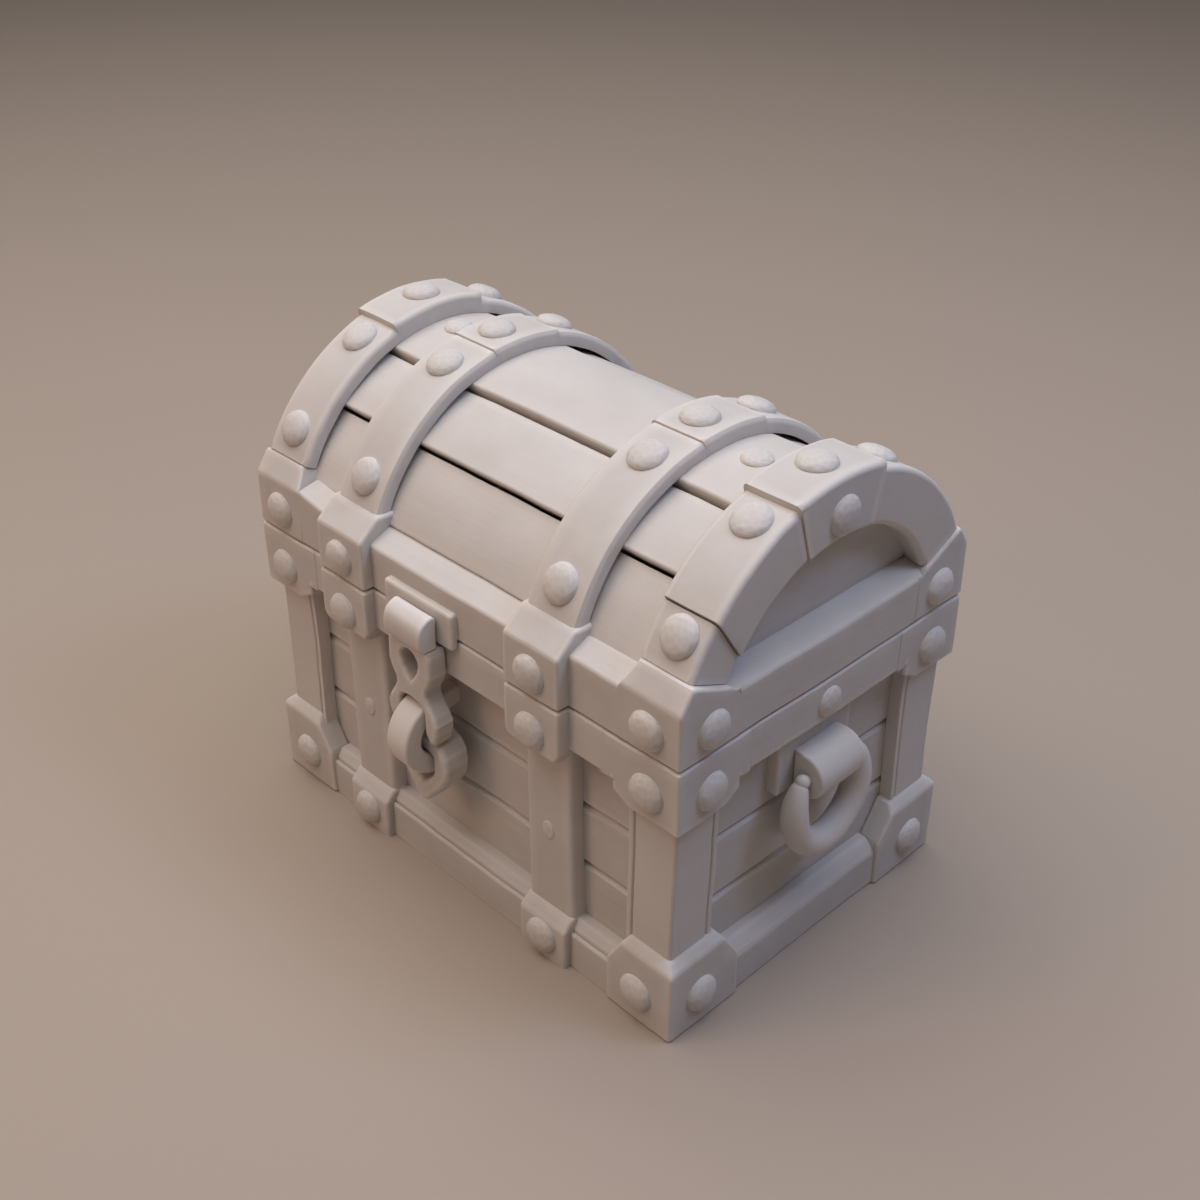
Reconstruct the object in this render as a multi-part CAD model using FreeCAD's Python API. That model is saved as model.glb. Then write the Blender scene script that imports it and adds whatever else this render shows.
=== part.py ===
import FreeCAD, Part
import math
import os

# Treasure chest box with a barrel lid, in millimetres.
# Origin: centre of the underside. +Z is up, the front faces -Y, X runs along the length.

# Overall sizes of the box, over the rails
body_length = 158.0
body_depth = 106.4
rim_height = 84.8
seam_gap = 0.5

# Walls and floor
wall_inset = 5.9
wall_thickness = 4.0
floor_thickness = 5.0
first_course = 14.0
plank_course = 19.0
plank_bevel = 1.2

# Rails of the box
bottom_rail_face = 11.5
bottom_rail_height = 15.0
bottom_rail_ledge = 3.0
top_rail_height = 12.3

# Corner posts
post_inset = 2.6
post_width = 15.0
post_bead = 1.8
post_groove = 0.7

# Corner brackets: how far they stand proud of the rails, and the reach of their legs
foot_bracket_proud = 1.0
foot_bracket_front_leg = 22.5
foot_bracket_side_leg = 25.5
foot_bracket_height = 24.6
foot_bracket_toe_height = 14.3
foot_bracket_slope = 6.5
foot_bracket_bevel = 2.2
rim_bracket_proud = 0.4
rim_bracket_front_leg = 24.0
rim_bracket_side_leg = 25.0
rim_bracket_height = 17.9
rim_bracket_slope = 6.0
lid_bracket_proud = 0.4
lid_bracket_front_leg = 19.0
lid_bracket_side_leg = 20.0
lid_bracket_face = 15.9
lid_bracket_height = 21.2
lid_bracket_front_bevel = 5.6
lid_bracket_side_bevel = 4.8

# Straps up the front and back walls, midway between the brackets and the hasp but for a shift
strap_left_shift = 0.1
strap_right_shift = 4.4
strap_width = 16.4
strap_thickness = 4.6
strap_foot_width = 17.0
strap_cap_width = 19.2
strap_foot_proud = 2.2
strap_foot_height = 14.5
strap_head_proud = 4.2
strap_head_height = 17.3
strap_nail_height = 41.0

# Lid frame
lid_rail_face = 11.8
lid_rail_height = 16.0
lid_rail_depth = 9.2
lid_rail_slope = 5.6
lid_head_face = 14.4
lid_head_height = 19.8
lid_head_slope = 6.4

# Barrel vault of the lid: its centre under the rim, its underside inside the rails' faces,
# and plank angles from the top
vault_centre_drop = 1.3
vault_inset = 6.6
plank_thickness = 4.4
plank_lap = 2.1
plank_swell = 0.25
plank_slit_angle = 1.1
ridge_plank_angle = 19.6
upper_plank_angle = 43.6
end_panel_thickness = 4.0
end_panel_inset = 0.5

# Iron bands over the vault
band_clearance = 0.05
band_thickness = 3.8
middle_band_width = 17.4
middle_ridge_front_angle = 8.8
middle_ridge_back_angle = -15.0
middle_ridge_raise = 0.6
end_band_inset = 0.2
end_band_width = 16.8
end_flange_depth = 11.0
end_ridge_front_angle = 16.8
end_ridge_back_angle = -15.0
end_ridge_raise = 1.8
end_ridge_proud = 0.5
end_foot_length = 11.33
end_foot_drop = 0.8

# Rivets
rivet_radius = 5.5
rivet_height = 2.6
small_rivet_radius = 4.1
small_rivet_height = 1.9
rivet_shank_radius = 1.5
rivet_shank_length = 2.0
shank_clearance = 0.05
nail_radius = 1.7
nail_height = 0.6
foot_rivet_from_face = 11.4
foot_rivet_height = 10.0
rim_rivet_from_face = 9.6
rim_rivet_drop = 10.4
lid_rivet_from_face = 9.8
lid_rivet_rise = 7.0
strap_foot_rivet_height = 7.0
strap_head_rivet_drop = 9.6
lid_head_rivet_rise = 6.6
hinge_leaf_rivet_rise = 8.8
rail_rivet_drop = 6.6
middle_rivet_angles = (58.6, 19.8)
middle_ridge_rivet_angle = 0.6
middle_back_rivet_angles = (-21.8, -58.6)
end_low_rivet_rise = 6.17
end_high_rivet_angle = 24.2
end_ridge_rivet_angle = 0.5
end_face_rivet_depth = 4.4
plank_rivet_shift = 0.05
plank_rivet_angle = 0.5

# Strap hinges at the back
hinge_axis_out = 4.0
knuckle_radius = 3.4
hinge_pin_radius = 1.5
hinge_pin_clearance = 0.06
knuckle_gap = 0.3
hinge_pin_head_radius = 2.4
hinge_pin_head_length = 1.2

# Hasp on the front of the lid
hasp_x = -7.2
hasp_plate_x = -8.0
hasp_plate_width = 26.4
hasp_plate_thickness = 3.4
hasp_plate_height = 10.9
hasp_plate_drop = 2.8
hasp_plate_relief = 0.4
hasp_plate_bevel = 1.1
hasp_gap = 0.2
hasp_knuckle_radius = 1.8
hasp_barrel_width = 14.6
hasp_barrel_depth = 6.0
hasp_barrel_height = 10.4
hasp_barrel_top = 6.7
hasp_barrel_lip = 1.0
hasp_lug_width = 3.0
hasp_lug_radius = 1.6
hasp_lug_stem = 1.8
hasp_lug_clearance = 0.7
hasp_side_clearance = 0.3
hasp_pin_radius = 0.8
hasp_pin_clearance = 0.06
hasp_pin_cover = 0.8
fork_thickness = 6.7
fork_clear = 0.7
fork_tenon_height = 3.0
fork_tenon_width = 10.0
fork_tenon_thickness = 2.6
fork_half_top = 7.6
fork_half_shoulder = 8.1
fork_half_waist = 5.4
fork_half_legs = 9.8
fork_shoulder_drop = 8.6
fork_waist_drop = 14.0
fork_flare_drop = 22.0
fork_length = 28.2
fork_eye_drop = 5.8
fork_eye_radius = 3.0
fork_eye_point = 5.6
fork_arch_clearance = 0.5
fork_arch_rise = 0.9
fork_arch_corner = 1.0
fork_leg_tip = 3.6

# Staple in the front wall, and the lock ring that hangs on it
staple_drop = 32.8
staple_width = 8.4
staple_thickness = 5.6
staple_bend_radius = 8.5
staple_reach = 8.2
staple_root = 2.8
lock_ring_thickness = 8.2
lock_ring_limb = 5.8
lock_ring_hang = 0.5
lock_ring_out = 7.9
lock_ring_half_width = 7.6
lock_ring_side_drop = 8.0
lock_ring_drop = 18.85
lock_ring_corner_radius = 3.3

# Ring handles on the two ends
handle_plate_thickness = 3.5
handle_plate_half_width = 14.0
handle_plate_height = 18.4
handle_plate_bevel = 1.1
handle_barrel_half_width = 8.5
handle_barrel_radius = 6.4
handle_barrel_depth = 9.8
handle_barrel_drop = 12.9
handle_pivot_out = 8.4
handle_pivot_drop = 0.2
handle_ring_radius = 13.8
handle_wire_radius = 4.0
handle_end_radius = 2.6
handle_end_gap = 0.4
handle_trunnion_radius = 1.6
handle_trunnion_length = 4.0
handle_bore_clearance = 0.06

# Planes that follow from the sizes above
rail_x = body_length / 2
rail_y = body_depth / 2
wall_x = rail_x - wall_inset
wall_y = rail_y - wall_inset
inner_x = wall_x - wall_thickness
inner_y = wall_y - wall_thickness
post_x = rail_x - post_inset
post_y = rail_y - post_inset
top_rail_base = rim_height - top_rail_height
lid_base = rim_height + seam_gap
lid_rail_top = lid_base + lid_rail_height
lid_inner_y = rail_y - lid_rail_depth
panel_x = wall_x - end_panel_inset
strap_y = wall_y + strap_thickness
strap_foot_y = rail_y + strap_foot_proud
strap_head_y = rail_y + strap_head_proud
vault_centre = rim_height - vault_centre_drop
vault_inner_radius = rail_y - vault_inset
plank_low_radius = vault_inner_radius + plank_thickness
plank_high_radius = plank_low_radius - plank_lap
band_inner = plank_low_radius + band_clearance
band_outer = band_inner + band_thickness
end_flange_radius = plank_low_radius - end_flange_depth
end_face_rivet_radius = plank_low_radius - end_face_rivet_depth
staple_height = rim_height - staple_drop
handle_barrel_height = top_rail_base - handle_barrel_drop
handle_pivot_height = handle_barrel_height - handle_pivot_drop
rim_leg_end = rail_x + rim_bracket_proud - rim_bracket_front_leg
hasp_plate_left = hasp_plate_x - hasp_plate_width / 2
hasp_plate_right = hasp_plate_x + hasp_plate_width / 2
strap_left_x = (hasp_plate_left - rim_leg_end) / 2 - strap_left_shift
strap_right_x = (hasp_plate_right + rim_leg_end) / 2 + strap_right_shift
strap_centres = (strap_left_x, strap_right_x)
end_band_face = rail_x - end_band_inset
end_band_edge = end_band_face - end_band_width
plank_rivet_left_x = (strap_left_x - middle_band_width / 2 - end_band_edge) / 2 - plank_rivet_shift
plank_rivet_right_x = (strap_right_x + middle_band_width / 2 + end_band_edge) / 2
plank_rivet_x = (plank_rivet_left_x, plank_rivet_right_x)
ORIGIN = FreeCAD.Vector(0, 0, 0)
X_AXIS = FreeCAD.Vector(1, 0, 0)
Y_AXIS = FreeCAD.Vector(0, 1, 0)
Z_AXIS = FreeCAD.Vector(0, 0, 1)
VAULT_AXIS = FreeCAD.Vector(0, 0, vault_centre)


# Shape helpers

def block(x0, x1, y0, y1, z0, z1):
    """Box between two corners."""
    return Part.makeBox(x1 - x0, y1 - y0, z1 - z0, FreeCAD.Vector(x0, y0, z0))


def polygon_face(points):
    """Flat face through the given points."""
    vectors = [FreeCAD.Vector(*point) for point in points]
    return Part.Face(Part.makePolygon(vectors + vectors[:1]))


def prism_x(outline, x0, x1):
    """Outline of (y, z) points, drawn out along X."""
    return polygon_face([(x0, y, z) for y, z in outline]).extrude(X_AXIS * (x1 - x0))


def prism_y(outline, y0, y1):
    """Outline of (x, z) points, drawn out along Y."""
    return polygon_face([(x, y0, z) for x, z in outline]).extrude(Y_AXIS * (y1 - y0))


def prism_z(outline, z0, z1):
    """Outline of (x, y) points, drawn out along Z."""
    return polygon_face([(x, y, z0) for x, y in outline]).extrude(Z_AXIS * (z1 - z0))


def rod(start, direction, radius, length):
    """Round bar from a point."""
    return Part.makeCylinder(radius, length, FreeCAD.Vector(*start), direction)


def mirror_x(shape):
    return shape.mirror(ORIGIN, X_AXIS)


def mirror_y(shape):
    return shape.mirror(ORIGIN, Y_AXIS)


def at_four_corners(shape):
    """The shape at the front right corner, and its three mirror images."""
    pair = [shape, mirror_x(shape)]
    return pair + [mirror_y(each) for each in pair]


def moved_x(shape, distance):
    return shape.translated(X_AXIS * distance)


def corner_outline(outer_x, outer_y, inner_leg_x, inner_leg_y, end_x, end_y):
    """L-shaped plan of a piece round the front right corner."""
    return [(outer_x, -outer_y), (outer_x, -end_y), (inner_leg_x, -end_y),
            (inner_leg_x, -inner_leg_y), (end_x, -inner_leg_y), (end_x, -outer_y)]


def vault_point(radius, angle):
    """(y, z) on the vault, with the angle measured from the top towards the front."""
    turn = math.radians(angle)
    return -radius * math.sin(turn), vault_centre + radius * math.cos(turn)


def vault_ring(section, low_angle, high_angle):
    """Section of (x, radius) points, swept round the vault between two angles."""
    points = [(x,) + vault_point(radius, low_angle) for x, radius in section]
    return polygon_face(points).revolve(VAULT_AXIS, X_AXIS, high_angle - low_angle)


def angle_at_height(radius, height):
    """Angle from the top at which a circle of the vault reaches a height."""
    return math.degrees(math.acos((height - vault_centre) / radius))


# Rivets

def turned_to(shape, outward):
    """Shape made along +Z, turned so that +Z points outward."""
    return shape.transformed(FreeCAD.Placement(ORIGIN, FreeCAD.Rotation(Z_AXIS, outward)).toMatrix())


def domed_head(radius, height, shank_radius, shank_length):
    """Domed head on a round shank, with the seat at the origin and the dome towards +Z."""
    ball = (radius ** 2 + height ** 2) / (2 * height)
    half = math.asin(radius / ball) / 2
    midway = FreeCAD.Vector(ball * math.sin(half), 0, height - ball * (1 - math.cos(half)))
    rim = FreeCAD.Vector(radius, 0, 0)
    crown = FreeCAD.Vector(0, 0, height)
    tail = [FreeCAD.Vector(shank_radius, 0, 0), FreeCAD.Vector(shank_radius, 0, -shank_length),
            FreeCAD.Vector(0, 0, -shank_length)]
    dome = Part.Arc(crown, midway, rim).toShape()
    rest = Part.makePolygon([rim] + tail + [crown])
    return Part.Face(Part.Wire([dome] + rest.Edges)).revolve(ORIGIN, Z_AXIS, 360)


def riveted(carrier, seats, heads, radius=rivet_radius, height=rivet_height):
    """Drill the carrier at each (seat, outward) and put a rivet there."""
    head = domed_head(radius, height, rivet_shank_radius, rivet_shank_length)
    hole_radius = rivet_shank_radius + shank_clearance
    hole = rod((0, 0, -rivet_shank_length), Z_AXIS, hole_radius, 2 * rivet_shank_length)
    for seat, outward in seats:
        direction = FreeCAD.Vector(*outward)
        place = FreeCAD.Vector(*seat)
        heads.append(turned_to(head, direction).translated(place))
        carrier = carrier.cut(turned_to(hole, direction).translated(place))
    return carrier


def vault_seat(x, radius, angle):
    """Seat of a rivet on the vault, with its outward direction."""
    y, z = vault_point(radius, angle)
    turn = math.radians(angle)
    return (x, y, z), (0, -math.sin(turn), math.cos(turn))


# Walls and floor

def course_lines():
    """Heights at which the wall planks meet, from the floor to the rim."""
    lines = [0.0]
    height = first_course
    while height < rim_height - plank_course / 2:
        lines.append(height)
        height += plank_course
    return lines + [rim_height]


def wall_planks(half_length, inner, outer):
    """Planks of a wall along X that faces -Y, each with a bevel along its upper edge."""
    planks = []
    lines = course_lines()
    for low, high in zip(lines, lines[1:]):
        outline = [(-inner, low), (-outer, low), (-outer, high - plank_bevel),
                   (plank_bevel / 2 - outer, high), (-inner, high)]
        planks.append(prism_x(outline, -half_length, half_length))
    return planks


def front_planks():
    root = staple_solid()
    return [plank.cut(root) for plank in wall_planks(wall_x, inner_y, wall_y)]


def end_planks():
    """Planks of the right end, between the front and back walls."""
    quarter = FreeCAD.Placement(ORIGIN, FreeCAD.Rotation(Z_AXIS, 90)).toMatrix()
    return [plank.transformed(quarter) for plank in wall_planks(inner_y, inner_x, wall_x)]


def floor_board():
    return block(-inner_x, inner_x, -inner_y, inner_y, 0, floor_thickness)


# Corner posts and brackets, all made at the front right corner

def corner_post():
    """L-shaped post with a bead along each inner edge."""
    end_x = post_x - post_width
    end_y = post_y - post_width
    post = prism_z(corner_outline(post_x, post_y, wall_x, wall_y, end_x, end_y), 0, rim_height)
    groove_x = end_x + post_bead
    groove_y = end_y + post_bead
    front = block(groove_x, groove_x + post_groove, -post_y, post_groove - post_y, 0, rim_height)
    side = block(post_x - post_groove, post_x, -groove_y - post_groove, -groove_y, 0, rim_height)
    return post.cut(front).cut(side)


def foot_bracket(heads):
    outer_x = rail_x + foot_bracket_proud
    outer_y = rail_y + foot_bracket_proud
    end_x = outer_x - foot_bracket_front_leg
    end_y = outer_y - foot_bracket_side_leg
    plan = corner_outline(outer_x, outer_y, wall_x, wall_y, end_x, end_y)
    bracket = prism_z(plan, 0, foot_bracket_height)
    top = foot_bracket_height
    face_top = top - foot_bracket_bevel
    front_slope = [(end_x, foot_bracket_toe_height), (end_x + foot_bracket_slope, top), (end_x, top)]
    side_slope = [(-end_y, foot_bracket_toe_height), (-end_y - foot_bracket_slope, top), (-end_y, top)]
    front_bevel = [(-outer_y, face_top), (foot_bracket_bevel - outer_y, top), (-outer_y, top)]
    side_bevel = [(outer_x, face_top), (outer_x - foot_bracket_bevel, top), (outer_x, top)]
    cuts = [prism_y(front_slope, -outer_y, -wall_y), prism_x(side_slope, wall_x, outer_x),
            prism_x(front_bevel, end_x, outer_x), prism_y(side_bevel, -outer_y, -end_y), corner_post()]
    for cut in cuts:
        bracket = bracket.cut(cut)
    seats = [((outer_x - foot_rivet_from_face, -outer_y, foot_rivet_height), (0, -1, 0)),
             ((outer_x, foot_rivet_from_face - outer_y, foot_rivet_height), (1, 0, 0))]
    return riveted(bracket, seats, heads)


def rim_bracket(heads):
    outer_x = rail_x + rim_bracket_proud
    outer_y = rail_y + rim_bracket_proud
    end_x = outer_x - rim_bracket_front_leg
    end_y = outer_y - rim_bracket_side_leg
    base = rim_height - rim_bracket_height
    plan = corner_outline(outer_x, outer_y, wall_x, wall_y, end_x, end_y)
    bracket = prism_z(plan, base, rim_height)
    front_slope = [(end_x, base), (end_x + rim_bracket_slope, base), (end_x, top_rail_base)]
    side_slope = [(-end_y, base), (-end_y - rim_bracket_slope, base), (-end_y, top_rail_base)]
    bracket = bracket.cut(prism_y(front_slope, -outer_y, -wall_y))
    bracket = bracket.cut(prism_x(side_slope, wall_x, outer_x))
    height = rim_height - rim_rivet_drop
    seats = [((outer_x - rim_rivet_from_face, -outer_y, height), (0, -1, 0)),
             ((outer_x, rim_rivet_from_face - outer_y, height), (1, 0, 0))]
    return riveted(bracket.cut(corner_post()), seats, heads)


def lid_bracket_blank():
    """Lid corner before its rivet holes: both legs bevelled outside, scooped to the vault inside."""
    outer_x = rail_x + lid_bracket_proud
    outer_y = rail_y + lid_bracket_proud
    end_x = outer_x - lid_bracket_front_leg
    end_y = outer_y - lid_bracket_side_leg
    top = lid_base + lid_bracket_height
    face_top = lid_base + lid_bracket_face
    plan = corner_outline(outer_x, outer_y, panel_x, lid_inner_y, end_x, end_y)
    bracket = prism_z(plan, lid_base, top)
    front_bevel = [(-outer_y, face_top), (lid_bracket_front_bevel - outer_y, top), (-outer_y, top)]
    side_bevel = [(outer_x, face_top), (outer_x - lid_bracket_side_bevel, top), (outer_x, top)]
    scoop = rod((end_x, 0, vault_centre), X_AXIS, band_inner, panel_x - end_x)
    above_rail = block(end_x, panel_x, -outer_y, 0, lid_rail_top, top)
    bracket = bracket.cut(prism_x(front_bevel, end_x, outer_x))
    bracket = bracket.cut(prism_y(side_bevel, -outer_y, -end_y))
    return bracket.cut(scoop.common(above_rail))


def lid_bracket(heads):
    outer_x = rail_x + lid_bracket_proud
    outer_y = rail_y + lid_bracket_proud
    height = lid_base + lid_rivet_rise
    seats = [((outer_x - lid_rivet_from_face, -outer_y, height), (0, -1, 0)),
             ((outer_x, lid_rivet_from_face - outer_y, height), (1, 0, 0))]
    return riveted(lid_bracket_blank(), seats, heads)


# Rails

def bottom_rail_outline(face, wall):
    """Section of a bottom rail as (across, z), with the face at -face and the wall at -wall."""
    return [(-face, 0), (-face, bottom_rail_face), (bottom_rail_ledge - face, bottom_rail_height),
            (-wall, bottom_rail_height), (-wall, 0)]


def bottom_rail_front():
    half = rail_x + foot_bracket_proud - foot_bracket_front_leg
    return prism_x(bottom_rail_outline(rail_y, wall_y), -half, half)


def bottom_rail_right():
    half = rail_y + foot_bracket_proud - foot_bracket_side_leg
    outline = [(-across, z) for across, z in bottom_rail_outline(rail_x, wall_x)]
    return prism_y(outline, -half, half)


def top_rail_front():
    half = rim_leg_end
    return block(-half, half, -rail_y, -wall_y, top_rail_base, rim_height)


def top_rail_right(heads):
    half = rail_y + rim_bracket_proud - rim_bracket_side_leg
    rail = block(wall_x, rail_x, -half, half, top_rail_base, rim_height)
    seat = ((rail_x, 0, rim_height - rail_rivet_drop), (1, 0, 0))
    return riveted(rail, [seat], heads, small_rivet_radius, small_rivet_height)


def lid_rail_outline(face, inner):
    """Section of a lid rail as (across, z), with a sloping top towards the vault."""
    return [(-face, lid_base), (-face, lid_base + lid_rail_face), (lid_rail_slope - face, lid_rail_top),
            (-inner, lid_rail_top), (-inner, lid_base)]


def lid_rail_front():
    half = rail_x + lid_bracket_proud - lid_bracket_front_leg
    return prism_x(lid_rail_outline(rail_y, lid_inner_y), -half, half)


def lid_rail_right():
    half = rail_y + lid_bracket_proud - lid_bracket_side_leg
    outline = [(-across, z) for across, z in lid_rail_outline(rail_x, panel_x)]
    return prism_y(outline, -half, half)


# Straps on the front and back walls, made at x = 0 on the front

def strap(heads):
    half = strap_width / 2
    bar = block(-half, half, -strap_y, -wall_y, bottom_rail_height, top_rail_base)
    shank_radius = nail_radius / 2
    seat = (0, -strap_y, strap_nail_height)
    nail = domed_head(nail_radius, nail_height, shank_radius, rivet_shank_length)
    heads.append(turned_to(nail, -Y_AXIS).translated(FreeCAD.Vector(*seat)))
    return bar.cut(rod(seat, Y_AXIS, shank_radius + shank_clearance, rivet_shank_length))


def strap_foot(heads):
    """Foot of a strap, hooked over the bottom rail."""
    half = strap_foot_width / 2
    outline = [(-strap_foot_y, 0), (-strap_foot_y, strap_foot_height - strap_foot_proud),
               (-rail_y, strap_foot_height), (-rail_y, 0)]
    foot = prism_x(outline, -half, half).cut(bottom_rail_front())
    return riveted(foot, [((0, -strap_foot_y, strap_foot_rivet_height), (0, -1, 0))], heads)


def strap_head_blank():
    """Head of a strap: over the top rail, and over the strap's end below it."""
    half = strap_cap_width / 2
    base = rim_height - strap_head_height
    outline = [(-strap_head_y, base), (-strap_head_y, rim_height), (-rail_y, rim_height),
               (-rail_y, top_rail_base), (-strap_y, top_rail_base), (-strap_y, base)]
    return prism_x(outline, -half, half)


def strap_head_seat():
    return (0, -strap_head_y, rim_height - strap_head_rivet_drop), (0, -1, 0)


def lid_head_blank():
    """Head of a lid band: over the lid rail, and up against the band's foot."""
    half = strap_cap_width / 2
    top = lid_base + lid_head_height
    outline = [(-strap_head_y, lid_base), (-strap_head_y, lid_base + lid_head_face),
               (lid_head_slope - strap_head_y, top), (-lid_inner_y, top), (-lid_inner_y, lid_base)]
    vault = rod((-half, 0, vault_centre), X_AXIS, band_outer, strap_cap_width)
    above_rail = block(-half, half, -strap_head_y, 0, lid_rail_top, top)
    return prism_x(outline, -half, half).cut(lid_rail_front()).cut(vault.common(above_rail))


def lid_head_seat():
    return (0, -strap_head_y, lid_base + lid_head_rivet_rise), (0, -1, 0)


# Strap hinges at the back: the heads carry the knuckles. Made at x = 0 on the front, then mirrored.

hinge_y = -rail_y - hinge_axis_out
hinge_z = rim_height + seam_gap / 2
middle_knuckle = strap_cap_width / 3


def knuckles(bounds, radius):
    """Round bars on the hinge axis, one for each (start, end) along X."""
    bars = [rod((start, hinge_y, hinge_z), X_AXIS, radius, end - start) for start, end in bounds]
    return bars[0].multiFuse(bars[1:]) if len(bars) > 1 else bars[0]


def hinge_leaf(blank, own, other):
    """Leaf with its own knuckles, relieved for the other leaf's, and bored for the pin."""
    half = strap_cap_width / 2
    relief = knuckles(other, knuckle_radius + knuckle_gap)
    bore = knuckles([(-half, half)], hinge_pin_radius + hinge_pin_clearance)
    return blank.cut(relief).fuse(knuckles(own, knuckle_radius)).removeSplitter().cut(bore)


def hinge_leaves(base_heads, lid_heads):
    """The base leaf and the lid leaf of one hinge."""
    half = strap_cap_width / 2
    inner = middle_knuckle / 2
    outer_bars = [(-half, -inner), (inner, half)]
    outer_room = [(-half, knuckle_gap - inner), (inner - knuckle_gap, half)]
    inner_bar = [(knuckle_gap - inner, inner - knuckle_gap)]
    base = hinge_leaf(strap_head_blank(), outer_bars, [(-inner, inner)])
    lid = hinge_leaf(lid_head_blank(), inner_bar, outer_room)
    lid_seat = ((0, -strap_head_y, lid_base + hinge_leaf_rivet_rise), (0, -1, 0))
    return (riveted(base, [strap_head_seat()], base_heads),
            riveted(lid, [lid_seat], lid_heads, small_rivet_radius, small_rivet_height))


def hinge_pin():
    half = strap_cap_width / 2
    pin = rod((-half, hinge_y, hinge_z), X_AXIS, hinge_pin_radius, strap_cap_width)
    ends = [rod((half, hinge_y, hinge_z), X_AXIS, hinge_pin_head_radius, hinge_pin_head_length),
            rod((-half - hinge_pin_head_length, hinge_y, hinge_z), X_AXIS,
                hinge_pin_head_radius, hinge_pin_head_length)]
    return pin.multiFuse(ends).removeSplitter()


# Vault of the lid

plank_start = angle_at_height(vault_inner_radius, lid_rail_top)


def vault_plank(low_angle, high_angle):
    """Plank along the vault whose lower edge stands proud of the plank below."""
    middle = (low_angle + high_angle) / 2
    mean = (plank_low_radius + plank_high_radius) / 2 + plank_swell

    def point(radius, angle):
        return FreeCAD.Vector(-panel_x, *vault_point(radius, angle))

    low_edge = point(plank_low_radius, low_angle)
    high_edge = point(plank_high_radius, high_angle)
    low_inside = point(vault_inner_radius, low_angle)
    high_inside = point(vault_inner_radius, high_angle)
    curves = [Part.Arc(low_edge, point(mean, middle), high_edge),
              Part.LineSegment(high_edge, high_inside),
              Part.Arc(high_inside, point(vault_inner_radius, middle), low_inside),
              Part.LineSegment(low_inside, low_edge)]
    section = Part.Face(Part.Wire([curve.toShape() for curve in curves]))
    return section.extrude(X_AXIS * (2 * panel_x))


def ridge_plank(heads):
    """Top plank, proud along both edges, with two small rivets."""
    section = [(-panel_x, vault_inner_radius), (panel_x, vault_inner_radius),
               (panel_x, plank_low_radius), (-panel_x, plank_low_radius)]
    plank = vault_ring(section, -ridge_plank_angle, ridge_plank_angle)
    seats = [vault_seat(x, plank_low_radius, plank_rivet_angle) for x in plank_rivet_x]
    return riveted(plank, seats, heads, small_rivet_radius, small_rivet_height)


def end_panel():
    """Arched board that closes the right end of the lid."""
    x0 = panel_x - end_panel_thickness
    disc = rod((x0, 0, vault_centre), X_AXIS, vault_inner_radius, end_panel_thickness)
    crown = vault_centre + vault_inner_radius
    return disc.common(block(x0, panel_x, -lid_inner_y, lid_inner_y, lid_base, crown))


# Bands over the vault

middle_band_start = angle_at_height(band_inner, lid_rail_top)
end_band_start = angle_at_height(band_inner, lid_base + lid_bracket_height)
end_foot_angle = end_band_start - math.degrees(end_foot_length / band_inner)
end_low_rivet_angle = end_band_start - math.degrees(end_low_rivet_rise / band_inner)


def middle_section(raise_by):
    half = middle_band_width / 2
    top = band_outer + raise_by
    return [(-half, band_inner), (half, band_inner), (half, top), (-half, top)]


def middle_band(heads):
    """Front, ridge and back pieces of a band at x = 0."""
    plain = middle_section(0)
    raised = middle_section(middle_ridge_raise)
    front = vault_ring(plain, middle_ridge_front_angle, middle_band_start)
    ridge = vault_ring(raised, middle_ridge_back_angle, middle_ridge_front_angle)
    back = vault_ring(plain, -middle_band_start, middle_ridge_back_angle)
    ridge_top = band_outer + middle_ridge_raise
    front_seats = [vault_seat(0, band_outer, angle) for angle in middle_rivet_angles]
    ridge_seats = [vault_seat(0, ridge_top, middle_ridge_rivet_angle)]
    back_seats = [vault_seat(0, band_outer, angle) for angle in middle_back_rivet_angles]
    return (riveted(front, front_seats, heads),
            riveted(ridge, ridge_seats, heads),
            riveted(back, back_seats, heads))


def end_section(raise_by, proud):
    """L-shaped section of the right end band: a plate on the vault and a flange down the end."""
    face = end_band_face + proud
    top = band_outer + raise_by
    return [(end_band_edge, band_inner), (panel_x, band_inner), (panel_x, end_flange_radius),
            (face, end_flange_radius), (face, top), (end_band_edge, top)]


end_rivet_x = end_band_face - end_band_width / 2


def end_band_ridge(heads):
    section = end_section(end_ridge_raise, end_ridge_proud)
    piece = vault_ring(section, end_ridge_back_angle, end_ridge_front_angle)
    y, z = vault_point(end_face_rivet_radius, end_ridge_rivet_angle)
    seats = [vault_seat(end_rivet_x, band_outer + end_ridge_raise, end_ridge_rivet_angle),
             ((end_band_face + end_ridge_proud, y, z), (1, 0, 0))]
    return riveted(piece, seats, heads)


def end_band_side(ridge_angle, heads):
    """Whole front piece of an end band, from the ridge piece down to the lid bracket."""
    piece = vault_ring(end_section(0, 0), ridge_angle, end_band_start).cut(lid_bracket_blank())
    angles = (end_low_rivet_angle, end_high_rivet_angle)
    return riveted(piece, [vault_seat(end_rivet_x, band_outer, angle) for angle in angles], heads)


def end_band_upper(heads):
    """Front piece of the right end band where it ends on a separate foot."""
    piece = vault_ring(end_section(0, 0), end_ridge_front_angle, end_foot_angle)
    return riveted(piece, [vault_seat(end_rivet_x, band_outer, end_high_rivet_angle)], heads)


def end_band_foot(heads):
    piece = vault_ring(end_section(-end_foot_drop, -end_foot_drop), end_foot_angle, end_band_start)
    seat = vault_seat(end_rivet_x, band_outer - end_foot_drop, end_low_rivet_angle)
    return riveted(piece.cut(lid_bracket_blank()), [seat], heads)


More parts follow.
